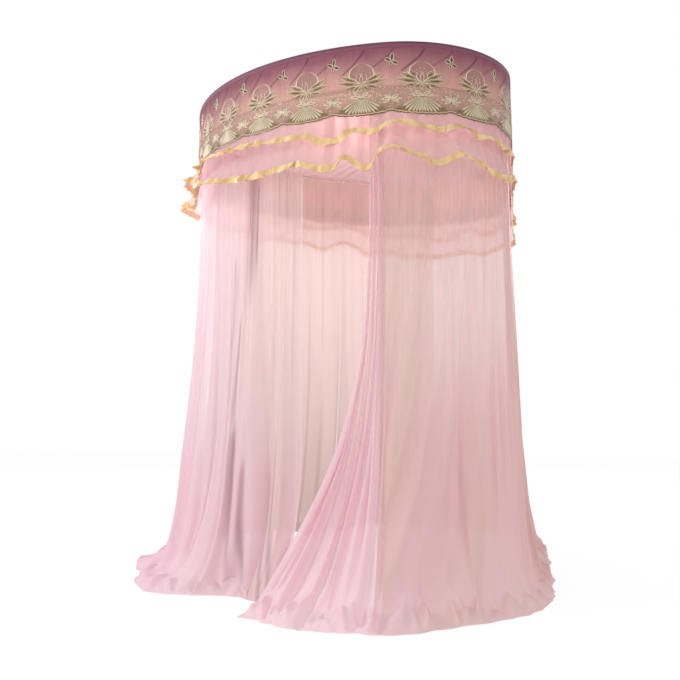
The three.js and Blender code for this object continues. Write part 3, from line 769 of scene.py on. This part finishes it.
def addPetal(cloth, base, degrees, length, width, kind, inside, layer):
    # one petal inside a raised cord: filled, slotted, dark or open inside; the slots and the dark insides are filled
    # with painted shade
    across = len(embroidery["heights"]) - 1
    isWide = width > embroidery["wide"]
    rows = embroidery["wideRows"] if isWide else embroidery["rows"]
    cord = embroidery["cord"] * (embroidery["wideCord"] if isWide else 1)
    made = bmesh.ops.create_grid(cloth, x_segments=across, y_segments=rows, size=0.5)["verts"]
    spare = []
    for face in {face for vert in made for face in vert.link_faces}:
        middle = face.calc_center_median()
        column, row = int((middle.x + 0.5) * across), int((middle.y + 0.5) * rows)
        if column in (0, 1, across - 2, across - 1):
            face.material_index = 1
        elif inside == "open":
            spare.append(face)
        # painted shade: slots and dark insides take the dark fill
        elif inside == "dark" or (inside == "slot" and column in (3, 4) and 2 <= row <= 3):
            face.material_index = 2
        elif inside == "petal":
            face.material_index = 3
    places, widths = embroidery["profiles"][kind]
    turn = math.radians(degrees)
    for vert in made:
        column = round((vert.co.x + 0.5) * across)
        ahead = min(max(vert.co.y + 0.5, 0.0), 1.0)
        half = float(follow(places, widths, np.array([ahead]))[0]) * width / 2
        inner = 1 - min(0.55, cord / max(half, 1e-5))
        side = [-1, -(1 + inner) / 2, -inner, -inner * 0.3, 0, inner * 0.3, inner, (1 + inner) / 2, 1][column] * half
        vert.co = (base[0] + ahead * length * math.sin(turn) + side * math.cos(turn),
                   base[1] + ahead * length * math.cos(turn) - side * math.sin(turn),
                   embroidery["heights"][column] * min(1, half / 0.003) + embroidery["layerStep"] * layer)
    bmesh.ops.delete(cloth, geom=spare, context="FACES")


def lotusRecipe():
    foot = lotus["foot"]
    petals = [(foot, 0, *lotus["petal"], "round", "petal", 1)]
    for side in (-1, 1):
        degrees, length, width = lotus["inner"]
        petals.append((foot, side * degrees, length, width, "leaf", "open", 2))
        for degrees, length, width, layer in lotus["leaves"]:
            petals.append((foot, side * degrees, length, width, "leaf", "slot", layer))
    for sideways, up in lotus["stamens"]:
        start = (foot[0] + sideways, foot[1] + up)
        petals.append((start, 40 * sideways / 0.016, 0.009, 0.005, "drop", "dark", 4))
    for degrees, length, width in lotus["sprig"]:
        petals.append(((repeatLength / 2, lotus["sprigHeight"]), degrees, length, width, "leaf", "dark", 0))
    return petals


def fanRecipe():
    hub = (0, lace["hub"])
    petals = []
    for rib in range(-fan["ribs"], fan["ribs"] + 1):
        degrees = rib * fan["ribStep"]
        turn = math.radians(degrees)
        reach = min(fan["drop"] / math.cos(turn), lace["fanReach"])
        start = (hub[0] - fan["ribStart"] * math.sin(turn), hub[1] - fan["ribStart"] * math.cos(turn))
        petals.append((start, 180 + degrees, reach - fan["ribStart"], fan["ribWidth"], "drop", "fill", 1))
    for turn in range(6):
        petals.append((hub, turn * 60, *fan["knot"], "leaf", "fill", 2))
    for side in (-1, 1):
        for degrees, length, width in fan["wings"]:
            petals.append((hub, side * degrees, length, width, "leaf", "slot", 1))
    middle = (repeatLength / 2, lace["sprayHeight"])
    for turn in range(6):
        petals.append((middle, turn * 60 + fan["sprayTurn"], *fan["sprayPetal"], "drop", "open", 1))
    for side in (-1, 1):
        for degrees, length in fan["spray"]:
            petals.append((middle, side * degrees, length, fan["sprayWidth"], "leaf", "slot", 0))
    return petals


stitches = {
    "leaf": threadMatter("leafThread", paint(172, 146, 108), paint(140, 112, 78), 0.6, 900),
    "rib": threadMatter("ribThread", paint(212, 195, 156), paint(170, 148, 108), 0.55, 700),
    "petal": threadMatter("petalThread", paint(170, 122, 114), paint(150, 104, 100), 0.65, 900),
    "cord": threadMatter("cordThread", paint(242, 232, 210), paint(212, 196, 166), 0.45, 1400),
    # painted shade: the dark fill of slots, stamens and sprig wings
    "dark": threadMatter("paintedShadeThread", paint(112, 82, 62), paint(72, 48, 42), 0.75, 900, sheen=0.0),
}


def wrapPetals(name, recipe, surface, filling):
    # one repeat is laid out flat, x along the ring and y up, then repeated and wrapped onto the surface
    flat = bmesh.new()
    for petal in recipe:
        addPetal(flat, *petal)
    bmesh.ops.remove_doubles(flat, verts=flat.verts, dist=1e-6)  # closes the pointed tips
    mesh = bpy.data.meshes.new(name + "Repeat")
    flat.to_mesh(mesh)
    flat.free()
    whole = bmesh.new()
    for number in range(valance["repeats"]):
        whole.from_mesh(mesh)
        whole.verts.ensure_lookup_table()
        fresh = whole.verts[-len(mesh.vertices):]
        bmesh.ops.translate(whole, verts=fresh, vec=((number + valance["shift"]) * repeatLength, 0, 0))
    bpy.data.meshes.remove(mesh)
    mesh = bpy.data.meshes.new(name)
    whole.to_mesh(mesh)
    whole.free()
    places = np.empty(len(mesh.vertices) * 3)
    mesh.vertices.foreach_get("co", places)
    distance, height, lift = places.reshape(-1, 3).T
    wrapped = onPlan(distance, surface(distance, height) + embroidery["lift"] + lift, height)
    mesh.vertices.foreach_set("co", wrapped.ravel())
    mesh.update()
    addPiece(name, mesh, [stitches[filling], stitches["cord"], stitches["dark"], stitches["petal"]], [])


wrapPetals("lotusEmbroidery", lotusRecipe(), valanceOut, "leaf")
wrapPetals("fanEmbroidery", fanRecipe(), lambda distance, height: lace["out"] + 0 * distance, "rib")
print("embroidery made")

# Ruffles and their ribbons
ruffles = {
    "upper": {
        "inside": 0.0185, "head": -0.197, "held": -0.275, "hem": -0.372,
        "flare": 0.038, "wave": 0.016, "seed": 41, "cut": 6.6,
        # hem lifts round the near side: distance from the nose tip, and metres up
        "lifts": [(0.2, 0.0), (0.4, 0.035), (0.58, -0.01), (0.77, 0.03), (0.95, 0.02), (1.08, 0.014), (1.26, 0.006),
                  (1.36, 0.002), (1.48, -0.026), (1.55, 0.004), (1.64, -0.004), (1.73, 0.03), (1.8, 0.014),
                  (1.89, 0.004), (1.95, 0.024), (2.01, 0.004), (2.14, 0.0), (2.24, -0.018), (2.38, 0.016),
                  (2.55, -0.012)],
    },
    "lower": {
        "inside": 0.0165, "head": -0.172, "held": -0.36, "hem": -0.488,
        "flare": 0.056, "wave": 0.02, "seed": 43, "cut": 6.8,
        "lifts": [(0.15, -0.02), (0.4, 0.03), (0.56, -0.02), (0.78, 0.03), (1.02, 0.0), (1.19, -0.004), (1.36, 0.008),
                  (1.47, -0.018), (1.53, 0.012), (1.625, -0.026), (1.675, 0.03), (1.79, 0.006), (1.885, -0.008),
                  (1.915, 0.018), (2.01, 0.0), (2.09, -0.02), (2.22, -0.024), (2.34, 0.016), (2.5, -0.014)],
    },
}
tulleLook = {
    "streaks": 42, "streakLength": 2.2, "streakShare": 0.5, "sheer": 0.4, "solid": 0.78, "passes": 0.55,
    "thin": paint(240, 217, 211), "thick": paint(230, 196, 192),
    "second": paint(240, 216, 234), "secondShare": 0.65, "secondCount": 16,
}
ribbon = {
    "width": 0.028, "clear": 0.0014, "roll": 0.012, "crimp": 0.004, "pucker": 0.0012, "drop": 0.001,
    # colour and deep: light and dark gold, set far apart as painted highlight and shade on top of the satin's own
    # tone
    "colour": paint(255, 234, 176), "deep": paint(204, 160, 92),
}


def wallSide(across):  # one along the straight back, zero round the nose
    return smooth(0.35, 0.42, across) * (1 - smooth(0.58, 0.65, across))


def leftSide(across):  # one along the nose's left side, where the tiers hang calmer
    around = np.mod(across + 0.25, 1) * railLength - railLength / 4
    return smooth(-1.6, -1.1, around) * (1 - smooth(0.1, 0.34, around))


def hemLift(tier, across):
    distance = np.mod(across, 1) * railLength
    wild = 0.011 * ripple(across, tier["seed"], 14, 26)
    places, lifts = zip(*tier["lifts"])
    near = follow(places, lifts, np.clip(distance, places[0], places[-1]))
    inside = smooth(places[0] - 0.12, places[0], distance) * (1 - smooth(places[-1], places[-1] + 0.12, distance))
    return wild * (1 - inside) + near * inside + 0.05 * leftSide(across)


def ruffleSurface(tier, across, up):
    # distance, reach and height of a tier at a share of its width and of its height
    flat = wallSide(across)
    lift = hemLift(tier, across) * (1 - 0.8 * flat)
    hem = tier["hem"] + lift
    height = hem + (tier["head"] - hem) * up
    share = np.clip((height - tier["held"]) / (hem - tier["held"]), 0, 1) ** 1.25
    wave = np.clip(lift / 0.02, -1.4, 1.4)
    fine = ripple(across, tier["seed"] + 1, 50, 84)
    wide = ripple(across, tier["seed"] + 2, 2, 5)
    flare = (tier["flare"] + tier["wave"] * wave + 0.005 * wide) * (1 - 0.95 * flat) * (1 - 0.5 * leftSide(across))
    out = tier["inside"] + share * (flare + 0.0028 * fine * (1 - 0.8 * flat)) + 0.0005 * fine * (1 - share)
    drift = share * 0.014 * np.sin(2 * math.pi * across * 27 + 2 * ripple(across, tier["seed"] + 3, 3, 9))
    return railLength * across + drift, out, height


def satinMatter():
    matter, tree, shader = startMatter("goldSatin", 0.28, **{"Sheen Weight": 0.2, "Specular IOR Level": 0.8})
    place = metresOnCloth(tree, railLength, ribbon["width"])
    # painted highlight and shade: streaks between the deep and the light gold, over the satin's tone
    tint = addMix(tree, addStreaks(tree, place, 22, 8), ribbon["deep"], ribbon["colour"])
    bump = addBump(tree, addThreads(tree, place, 400), 0.15, 0.0004)
    joinShader(tree, shader, tint, bump)
    letThrough(tree, shader, tint, bump, 0.2)
    return matter


satin = satinMatter()


def buildRuffle(name, tier):
    tall = tier["head"] - tier["hem"]
    label = name.capitalize()

    def shape(across, up):
        return onPlan(*ruffleSurface(tier, across, up))

    def dense(across, up):
        return 0.3 + 0.25 * ripple(across, tier["seed"] + 1, 70, 96) * (1 - up)

    # the lilac bands vary at random; keeping them mostly off the right side, from 1.2 to 2 m, is painted shade
    def lilacOnLitSide(across, up):
        distance = np.mod(across, 1) * railLength
        return 1 - 0.8 * smooth(1.2, 1.4, distance) * (1 - smooth(1.75, 2.0, distance))

    def strip(across, up):
        # puckered along its stitching, with stretches that roll outward at one edge or the other
        distance, out, height = ruffleSurface(tier, across, ribbon["width"] / tall * up)
        loose = (1 - 0.9 * wallSide(across)) * (1 - 0.7 * leftSide(across))
        roll = ripple(across, tier["seed"] + 7, 45, 90) * loose
        crimp = ripple(across, tier["seed"] + 8, 90, 140) * loose
        rolled = ribbon["roll"] * (np.maximum(roll, 0) * (1 - up) + np.maximum(-roll, 0) * up)
        stand = rolled + ribbon["crimp"] * np.maximum(crimp, 0)
        height = height - ribbon["drop"] + ribbon["pucker"] * crimp * (1 - up)
        return onPlan(distance, out + ribbon["clear"] + stand, height)

    matter = voile("tulle" + label, railLength, tall, tulleLook)
    fields = {"dense": dense, "second": lilacOnLitSide}
    mesh = clothMesh("ruffle" + label, 1500, 22, shape, closed=True, fields=fields)
    piece = addPiece("ruffle" + label, mesh, [matter], ["ruffle_" + name])
    mesh = clothMesh("ribbon" + label, 2400, 5, strip, closed=True)
    trim = addPiece("ribbon" + label, mesh, [satin], ["ribbon_" + name])


for tierName, tierSettings in ruffles.items():
    buildRuffle(tierName, tierSettings)
print("ruffles made")

# Roof cloth
roof = {
    "edge": -0.0085, "level": -0.0096, "sag": 0.036, "middleY": -0.529,
    "pleat": 0.004, "hem": 0.0095, "hemFrom": 0.97,
    "look": {"streaks": 60, "streakLength": 2, "streakShare": 0.4, "sheer": 0.82, "solid": 0.97, "passes": 0.2,
             "thin": paint(212, 168, 168), "thick": paint(196, 144, 148)},
}


def buildRoof():
    def pleats(across):
        return ripple(across, 51, 60, 90)

    def shape(across, up):  # up is zero in the middle and one at the rail
        place = onPlan(-railLength * across, roof["edge"] - 0.001, 0.0)
        share = np.minimum(up / roof["hemFrom"], 1)
        pleat = roof["pleat"] * pleats(across) * np.sqrt(share) * (1 - share ** 6)
        hem = roof["hem"] * smooth(roof["hemFrom"], 1, up)
        height = roof["level"] - roof["sag"] * (1 - share ** 2) + pleat - hem
        y = roof["middleY"] + (place[:, 1] - roof["middleY"]) * share
        return np.stack([place[:, 0] * share, y, height], axis=-1)

    def dense(across, up):
        return 0.75 * (1 - up) ** 1.5 + 0.2 * pleats(across) * up

    matter = voile("roofVoile", railLength, 1.0, roof["look"])
    mesh = clothMesh("roofCloth", 720, 34, shape, closed=True, fields={"dense": dense})
    piece = addPiece("roofCloth", mesh, [matter], ["roof_cloth"])
    print("roof made")


buildRoof()

# Curtains
fall = {
    # share of the cloth's length: height (m), reach share, fold share, trail share
    "path": [(0, -0.0312, 0, 0.25, 0), (0.1, -0.27, 0.0, 0.35, 0), (0.2, -0.52, 0.012, 0.5, 0),
             (0.35, -0.9, 0.035, 0.65, 0.01), (0.5, -1.28, 0.085, 0.85, 0.08), (0.64, -1.64, 0.18, 1, 0.3),
             (0.76, -1.94, 0.31, 1, 0.68), (0.83, -2.085, 0.45, 0.9, 0.9), (0.88, -2.15, 0.6, 0.6, 0.98),
             (0.93, -2.17, 0.8, 0.3, 1), (1, -2.194, 1, 0.12, 1)],
    "taper": 0.3, "edgeWidth": 0.03,
    # how far out the cloth may swing by its depth below the ceiling, inside the lining and the ruffles' heads
    "limit": ([0.0, 0.2, 0.3, 0.36, 0.5, 0.7], [0.0105, 0.0105, 0.013, 0.0135, 0.04, 0.3]), "ease": 0.004,
    "gather": 0.0024, "middle": 0.0105, "broad": 0.02,  # heights of the fine, middle and broad folds
    "uneven": (0.045, 0.016),  # how much the reach on the floor varies, in broad and in short waves
    "ridge": 0.013, "crumple": 0.0095,  # heights of the pool's ridges and wrinkles
    "rows": 110,
}
# one voile painted lighter or darker for how light falls on it: the front and drawn tones are painted light, the far
# tone painted shade
litAndShadedTones = {
    "front": {"thin": paint(244, 237, 243), "thick": paint(238, 208, 219), "sheer": 0.3, "solid": 0.95,
              "second": paint(226, 202, 188), "secondShare": 0.7, "secondCount": 15, "foldShade": paint(158, 124, 130)},
    "near": {"thin": paint(225, 202, 204), "thick": paint(234, 199, 206), "sheer": 0.46, "solid": 0.97,
             "second": paint(224, 201, 184), "secondShare": 0.65, "secondCount": 11, "slant": -0.12},
    "drawn": {"thin": paint(252, 238, 243), "thick": paint(244, 211, 221), "sheer": 0.14, "solid": 0.95,
              "second": paint(242, 224, 224), "secondShare": 0.55, "secondCount": 9},
    "far": {"thin": paint(209, 189, 182), "thick": paint(202, 174, 169), "sheer": 0.8, "solid": 0.96,
            "second": paint(216, 187, 187), "secondShare": 0.55, "secondCount": 9},
}
# from and to: places along the rail from the nose tip, at the head and at the foot
# reach: how far the foot comes outward on the floor, in the middle and at both edges
curtains = {
    "front_curtain_right": {
        "from": 0.002, "to": 1.3283, "footFrom": 0.002, "footTo": 1.215,
        "reach": 0.295, "fromReach": 0.295, "toReach": 0.03, "toHold": 0.19, "late": 3,
        "seed": 61, "columns": 620, "cut": (1.75, 2.42), "tone": "front", "clearFrom": 0.72, "warm": (0.6, 0.85),
        # painted shade lines standing for deep narrow folds: distance from the nose tip, top, foot, sideways drift,
        # width, strength
        "foldShades": [(1.036, -0.42, -0.8, 0.0, 0.007, 1.0), (1.07, -0.38, -1.1, 0.01, 0.034, 0.85),
                  (1.068, -0.46, -0.9, 0.012, 0.007, 0.9), (1.1, -0.44, -0.98, 0.0, 0.007, 0.9),
                  (0.945, -0.76, -1.25, 0.05, 0.007, 0.7), (0.96, -0.8, -1.5, 0.05, 0.024, 0.3),
                  (1.0, -1.0, -1.6, 0.03, 0.007, 0.6), (1.21, -0.44, -0.7, 0.004, 0.005, 0.4),
                  (1.25, -0.45, -0.8, -0.004, 0.005, 0.4), (0.99, -1.45, -2.25, 0.04, 0.014, 0.6),
                  (1.04, -1.6, -2.3, 0.05, 0.012, 0.6), (1.15, -1.6, -2.6, 0.03, 0.012, 0.5),
                  (1.2, -1.5, -2.6, 0.03, 0.014, 0.45)],
        "blend": ("front_glider_right_lead", (0, -1.528, -0.4), (1.0033, -0.8057, -0.4)),
    },
    "front_curtain_left": {
        "from": railLength - 1.0626, "to": railLength - 0.002,
        "footFrom": railLength - 0.9999, "footTo": railLength - 0.002,
        "reach": 0.295, "fromReach": 0.03, "toReach": 0.295, "fromEdge": 0.006,
        "seed": 62, "columns": 460, "cut": (1.45, 2.42), "tone": "far",
        "blend": ("front_glider_left_lead", (0, -1.528, -0.4), (-0.893, -1.037, -0.4)),
    },
    "side_curtain_right": {
        "from": 1.6077, "to": 1.6729, "footFrom": 1.228, "footTo": 1.6769,
        "reach": 0.315, "fromReach": 0.26, "toReach": 0.285, "stack": 10, "pinch": 0.0165, "toEdge": 0.008,
        "seed": 63, "columns": 420, "cut": (0.78, 2.42), "tone": "drawn", "late": 0.85,
        "blend": ("side_glider_right_lead", (1.058, -0.472, -0.4), (1.0566, -0.5245, -0.4)),
    },
    "side_curtain_left": {
        "from": railLength - 1.6599, "to": railLength - 1.0586,
        "footFrom": railLength - 1.6599, "footTo": railLength - 1.0,
        "reach": 0.295, "fromReach": 0.285, "toReach": 0.03, "toEdge": -0.006,
        "seed": 64, "columns": 300, "cut": (0.85, 2.42), "tone": "far",
        "blend": ("side_glider_left_lead", (-1.058, -0.472, -0.4), (-0.903, -1.02, -0.4)),
    },
    "back_curtain": {
        "from": 1.6539, "to": 4.3125, "footFrom": 1.6499, "footTo": 4.3125,
        "reach": 0.172, "fromReach": 0.285, "toReach": 0.285, "fromEdge": -0.008,
        "seed": 65, "columns": 900, "cut": (3.3, 2.42), "tone": "near", "lean": 0.4,
    },
}


def curtainFold(spec, along, down):
    # swing in and out, from fine gathers at the head to broad folds at the foot
    chance = np.random.default_rng(spec["seed"])
    path = np.clip(down / 0.8, 0, 1)
    along = along + spec.get("lean", 0) * np.exp(-along / 0.5) * down ** 1.3
    fine = waves(chance, along, down, 0.02, 0.05, 0.5, 7) * (0.4 if spec["tone"] == "far" else 1)
    middle = waves(chance, along, down, 0.065, 0.15, 0.7)
    broad = waves(chance, along, down, 0.19, 0.42, 0.9, 4)
    return (fall["gather"] * fine * (1 - 0.75 * path) + fall["middle"] * middle * (0.2 + 0.8 * path)
            + fall["broad"] * broad * path ** 1.5)


def curtainShape(spec, across, down):  # distance, reach and height
    shares, heights, reaches, depths, trails = zip(*fall["path"])
    height = follow(shares, heights, down)
    reach = follow(shares, reaches, down)
    fullness = np.clip(follow(shares, depths, down), 0, 1)
    trail = np.clip(follow(shares, trails, down), 0, 1) ** spec.get("late", 1)
    start = spec["from"] + (spec["footFrom"] - spec["from"]) * trail
    end = spec["to"] + (spec["footTo"] - spec["to"]) * trail
    wide = spec["footTo"] - spec["footFrom"]
    along = wide * across

    # how far each part of the hem reaches out on the floor
    walked = 1 - smooth(0, 1, along / fall["taper"])
    left = 1 - smooth(0, 1, (wide - along - spec.get("toHold", 0)) / fall["taper"])
    spread = spec["reach"] + (spec["fromReach"] - spec["reach"]) * walked + (spec["toReach"] - spec["reach"]) * left
    chance = np.random.default_rng(spec["seed"] + 100)
    nearEdge = np.exp(-along / fall["edgeWidth"]), np.exp(-(wide - along) / fall["edgeWidth"])
    uneven = (fall["uneven"][0] * waves(chance, along, 0 * down, 0.25, 0.6, 0, 4)
              + fall["uneven"][1] * waves(chance, along, 0 * down, 0.07, 0.16, 0, 4))
    uneven = uneven * (1 - nearEdge[0]) * (1 - nearEdge[1])
    spread = spread * (1 + uneven * smooth(0.72, 0.95, down))

    # the folds, kept in their place at the edges, inside the lining and clear of the ruffles
    swing = curtainFold(spec, along, down) * (0.35 + 0.65 * fullness) * (1 - smooth(0.93, 1, down) * 0.7)
    if "stack" in spec:
        turns = 2 * math.pi * spec["stack"] * across + 0.8 * waves(chance, across, down, 0.2, 0.6, 0.6, 4)
        spreading = smooth(0.35, 0.95, down)
        pinched = spec["pinch"] * (np.sin(turns) - 0.35) * (1 - 0.6 * spreading)
        pinched = pinched * (1 - smooth(0.88, 1, down) * 0.8)
        swing = swing * spreading + pinched
    for edge, closeness in zip(("fromEdge", "toEdge"), nearEdge):
        if edge in spec:
            swing = swing * (1 - closeness) + spec[edge] * closeness
    limit = np.interp(-height, *fall["limit"])
    ease = fall["ease"]
    inLining = 1 - smooth(-0.32, -0.2, -height)
    out = spread * reach + swing
    out = np.where(out > limit - ease, limit - ease * np.exp(-(out - limit + ease) / ease), out)
    out = np.where(inLining > 0, np.maximum(out, -0.022 - 0.1 * (1 - inLining)), out)
    chanceSide = np.random.default_rng(spec["seed"] + 200)
    sway = 0.007 * waves(chanceSide, along, down, 0.08, 0.2, 0.7, 4)
    sideways = sway * fullness * smooth(0, 0.06, across) * (1 - smooth(0.94, 1, across))

    # the pool: cloth lies in soft ridges that run outward and wander
    chancePool = np.random.default_rng(spec["seed"] + 300)
    ridge = waves(chancePool, along + 0.1 * down, down, 0.09, 0.22, 5, 5)
    crumple = waves(chancePool, along - 0.2 * down, down, 0.035, 0.08, 9, 5)
    rise = fall["ridge"] * (0.6 + ridge) + fall["crumple"] * crumple
    height = height + smooth(0.82, 0.9, down) * (1 - smooth(0.93, 1, down)) * rise
    height = np.maximum(height, plan["floor"] + 0.002 + 0.0012 * (1 + np.clip(crumple, -1, 1)))
    return start + (end - start) * across + sideways, out, height


def foldShadeField(spec, across, down):  # painted shade: dark lines standing for deep narrow folds
    total = np.zeros_like(across)
    distance, out, height = curtainShape(spec, across, down)
    for place, top, foot, drift, width, strength in spec.get("foldShades", ()):
        fallen = (top - height) / (top - foot)
        line = place - drift * fallen
        fade = smooth(0, 0.15, fallen) * (1 - smooth(0.55, 1, fallen))
        total = np.maximum(total, strength * fade * np.exp(-((distance - line) / width) ** 2))
    return total


def densityAt(spec, across, down):  # more where the cloth stands steep, low down, in the pool and in the hems
    step = 1e-3
    left = curtainShape(spec, np.clip(across - step, 0, 1), down)
    right = curtainShape(spec, np.clip(across + step, 0, 1), down)
    steep = np.abs(right[1] - left[1]) / np.maximum(np.abs(right[0] - left[0]), 2e-5)
    base = 0.3 * steep / (0.6 + steep)
    if "stack" in spec:
        base = (0.08 + 0.5 * smooth(0.2, 0.9, down)) * (1 - smooth(0.85, 1, across))
    if spec["tone"] == "front":
        base = base + 0.3
    base = base + 0.4 * foldShadeField(spec, across, down)
    lower = smooth(0.34, 0.78, down) if spec["tone"] == "near" else 0.5 * smooth(0.5, 0.82, down)
    pooled = smooth(0.78, 0.95, down)
    hemmed = smooth(0.985, 0.995, down) + 0.6 * (1 - smooth(0.008, 0.012, down))
    clearFrom = spec.get("clearFrom", 2)
    clear = smooth(clearFrom, clearFrom + 0.26, across) * (1 - pooled) * (1 - smooth(0.45, 0.7, down))
    return np.clip(base + lower + 0.12 * pooled + 0.2 * hemmed - 0.5 * clear, 0, 1)


def buildCurtain(name, spec):
    def shape(across, up):
        return onPlan(*curtainShape(spec, across, 1 - up))

    def dense(across, up):
        return densityAt(spec, across, 1 - up)

    def second(across, up):
        return smooth(*spec.get("warm", (-2, -1)), across)

    def foldShade(across, up):
        return foldShadeField(spec, across, 1 - up)

    fields = {"dense": dense, "second": second}
    if "foldShades" in spec:
        fields["foldShade"] = foldShade
    look = dict(litAndShadedTones[spec["tone"]], streaks=60, streakLength=0.7, streakShare=0.26)
    matter = voile("voile_" + name, spec["cut"][0] / 2, spec["cut"][1], look)
    mesh = clothMesh(name + "_cloth", spec["columns"], fall["rows"], shape, fields=fields)
    piece = addPiece(name + "_cloth", mesh, [matter], [name], body=None)
    if "blend" in spec:
        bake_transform(piece)
    else:
        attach(piece, "crown")
    print(name, "made")


for curtainName, curtainSpec in curtains.items():
    buildCurtain(curtainName, curtainSpec)
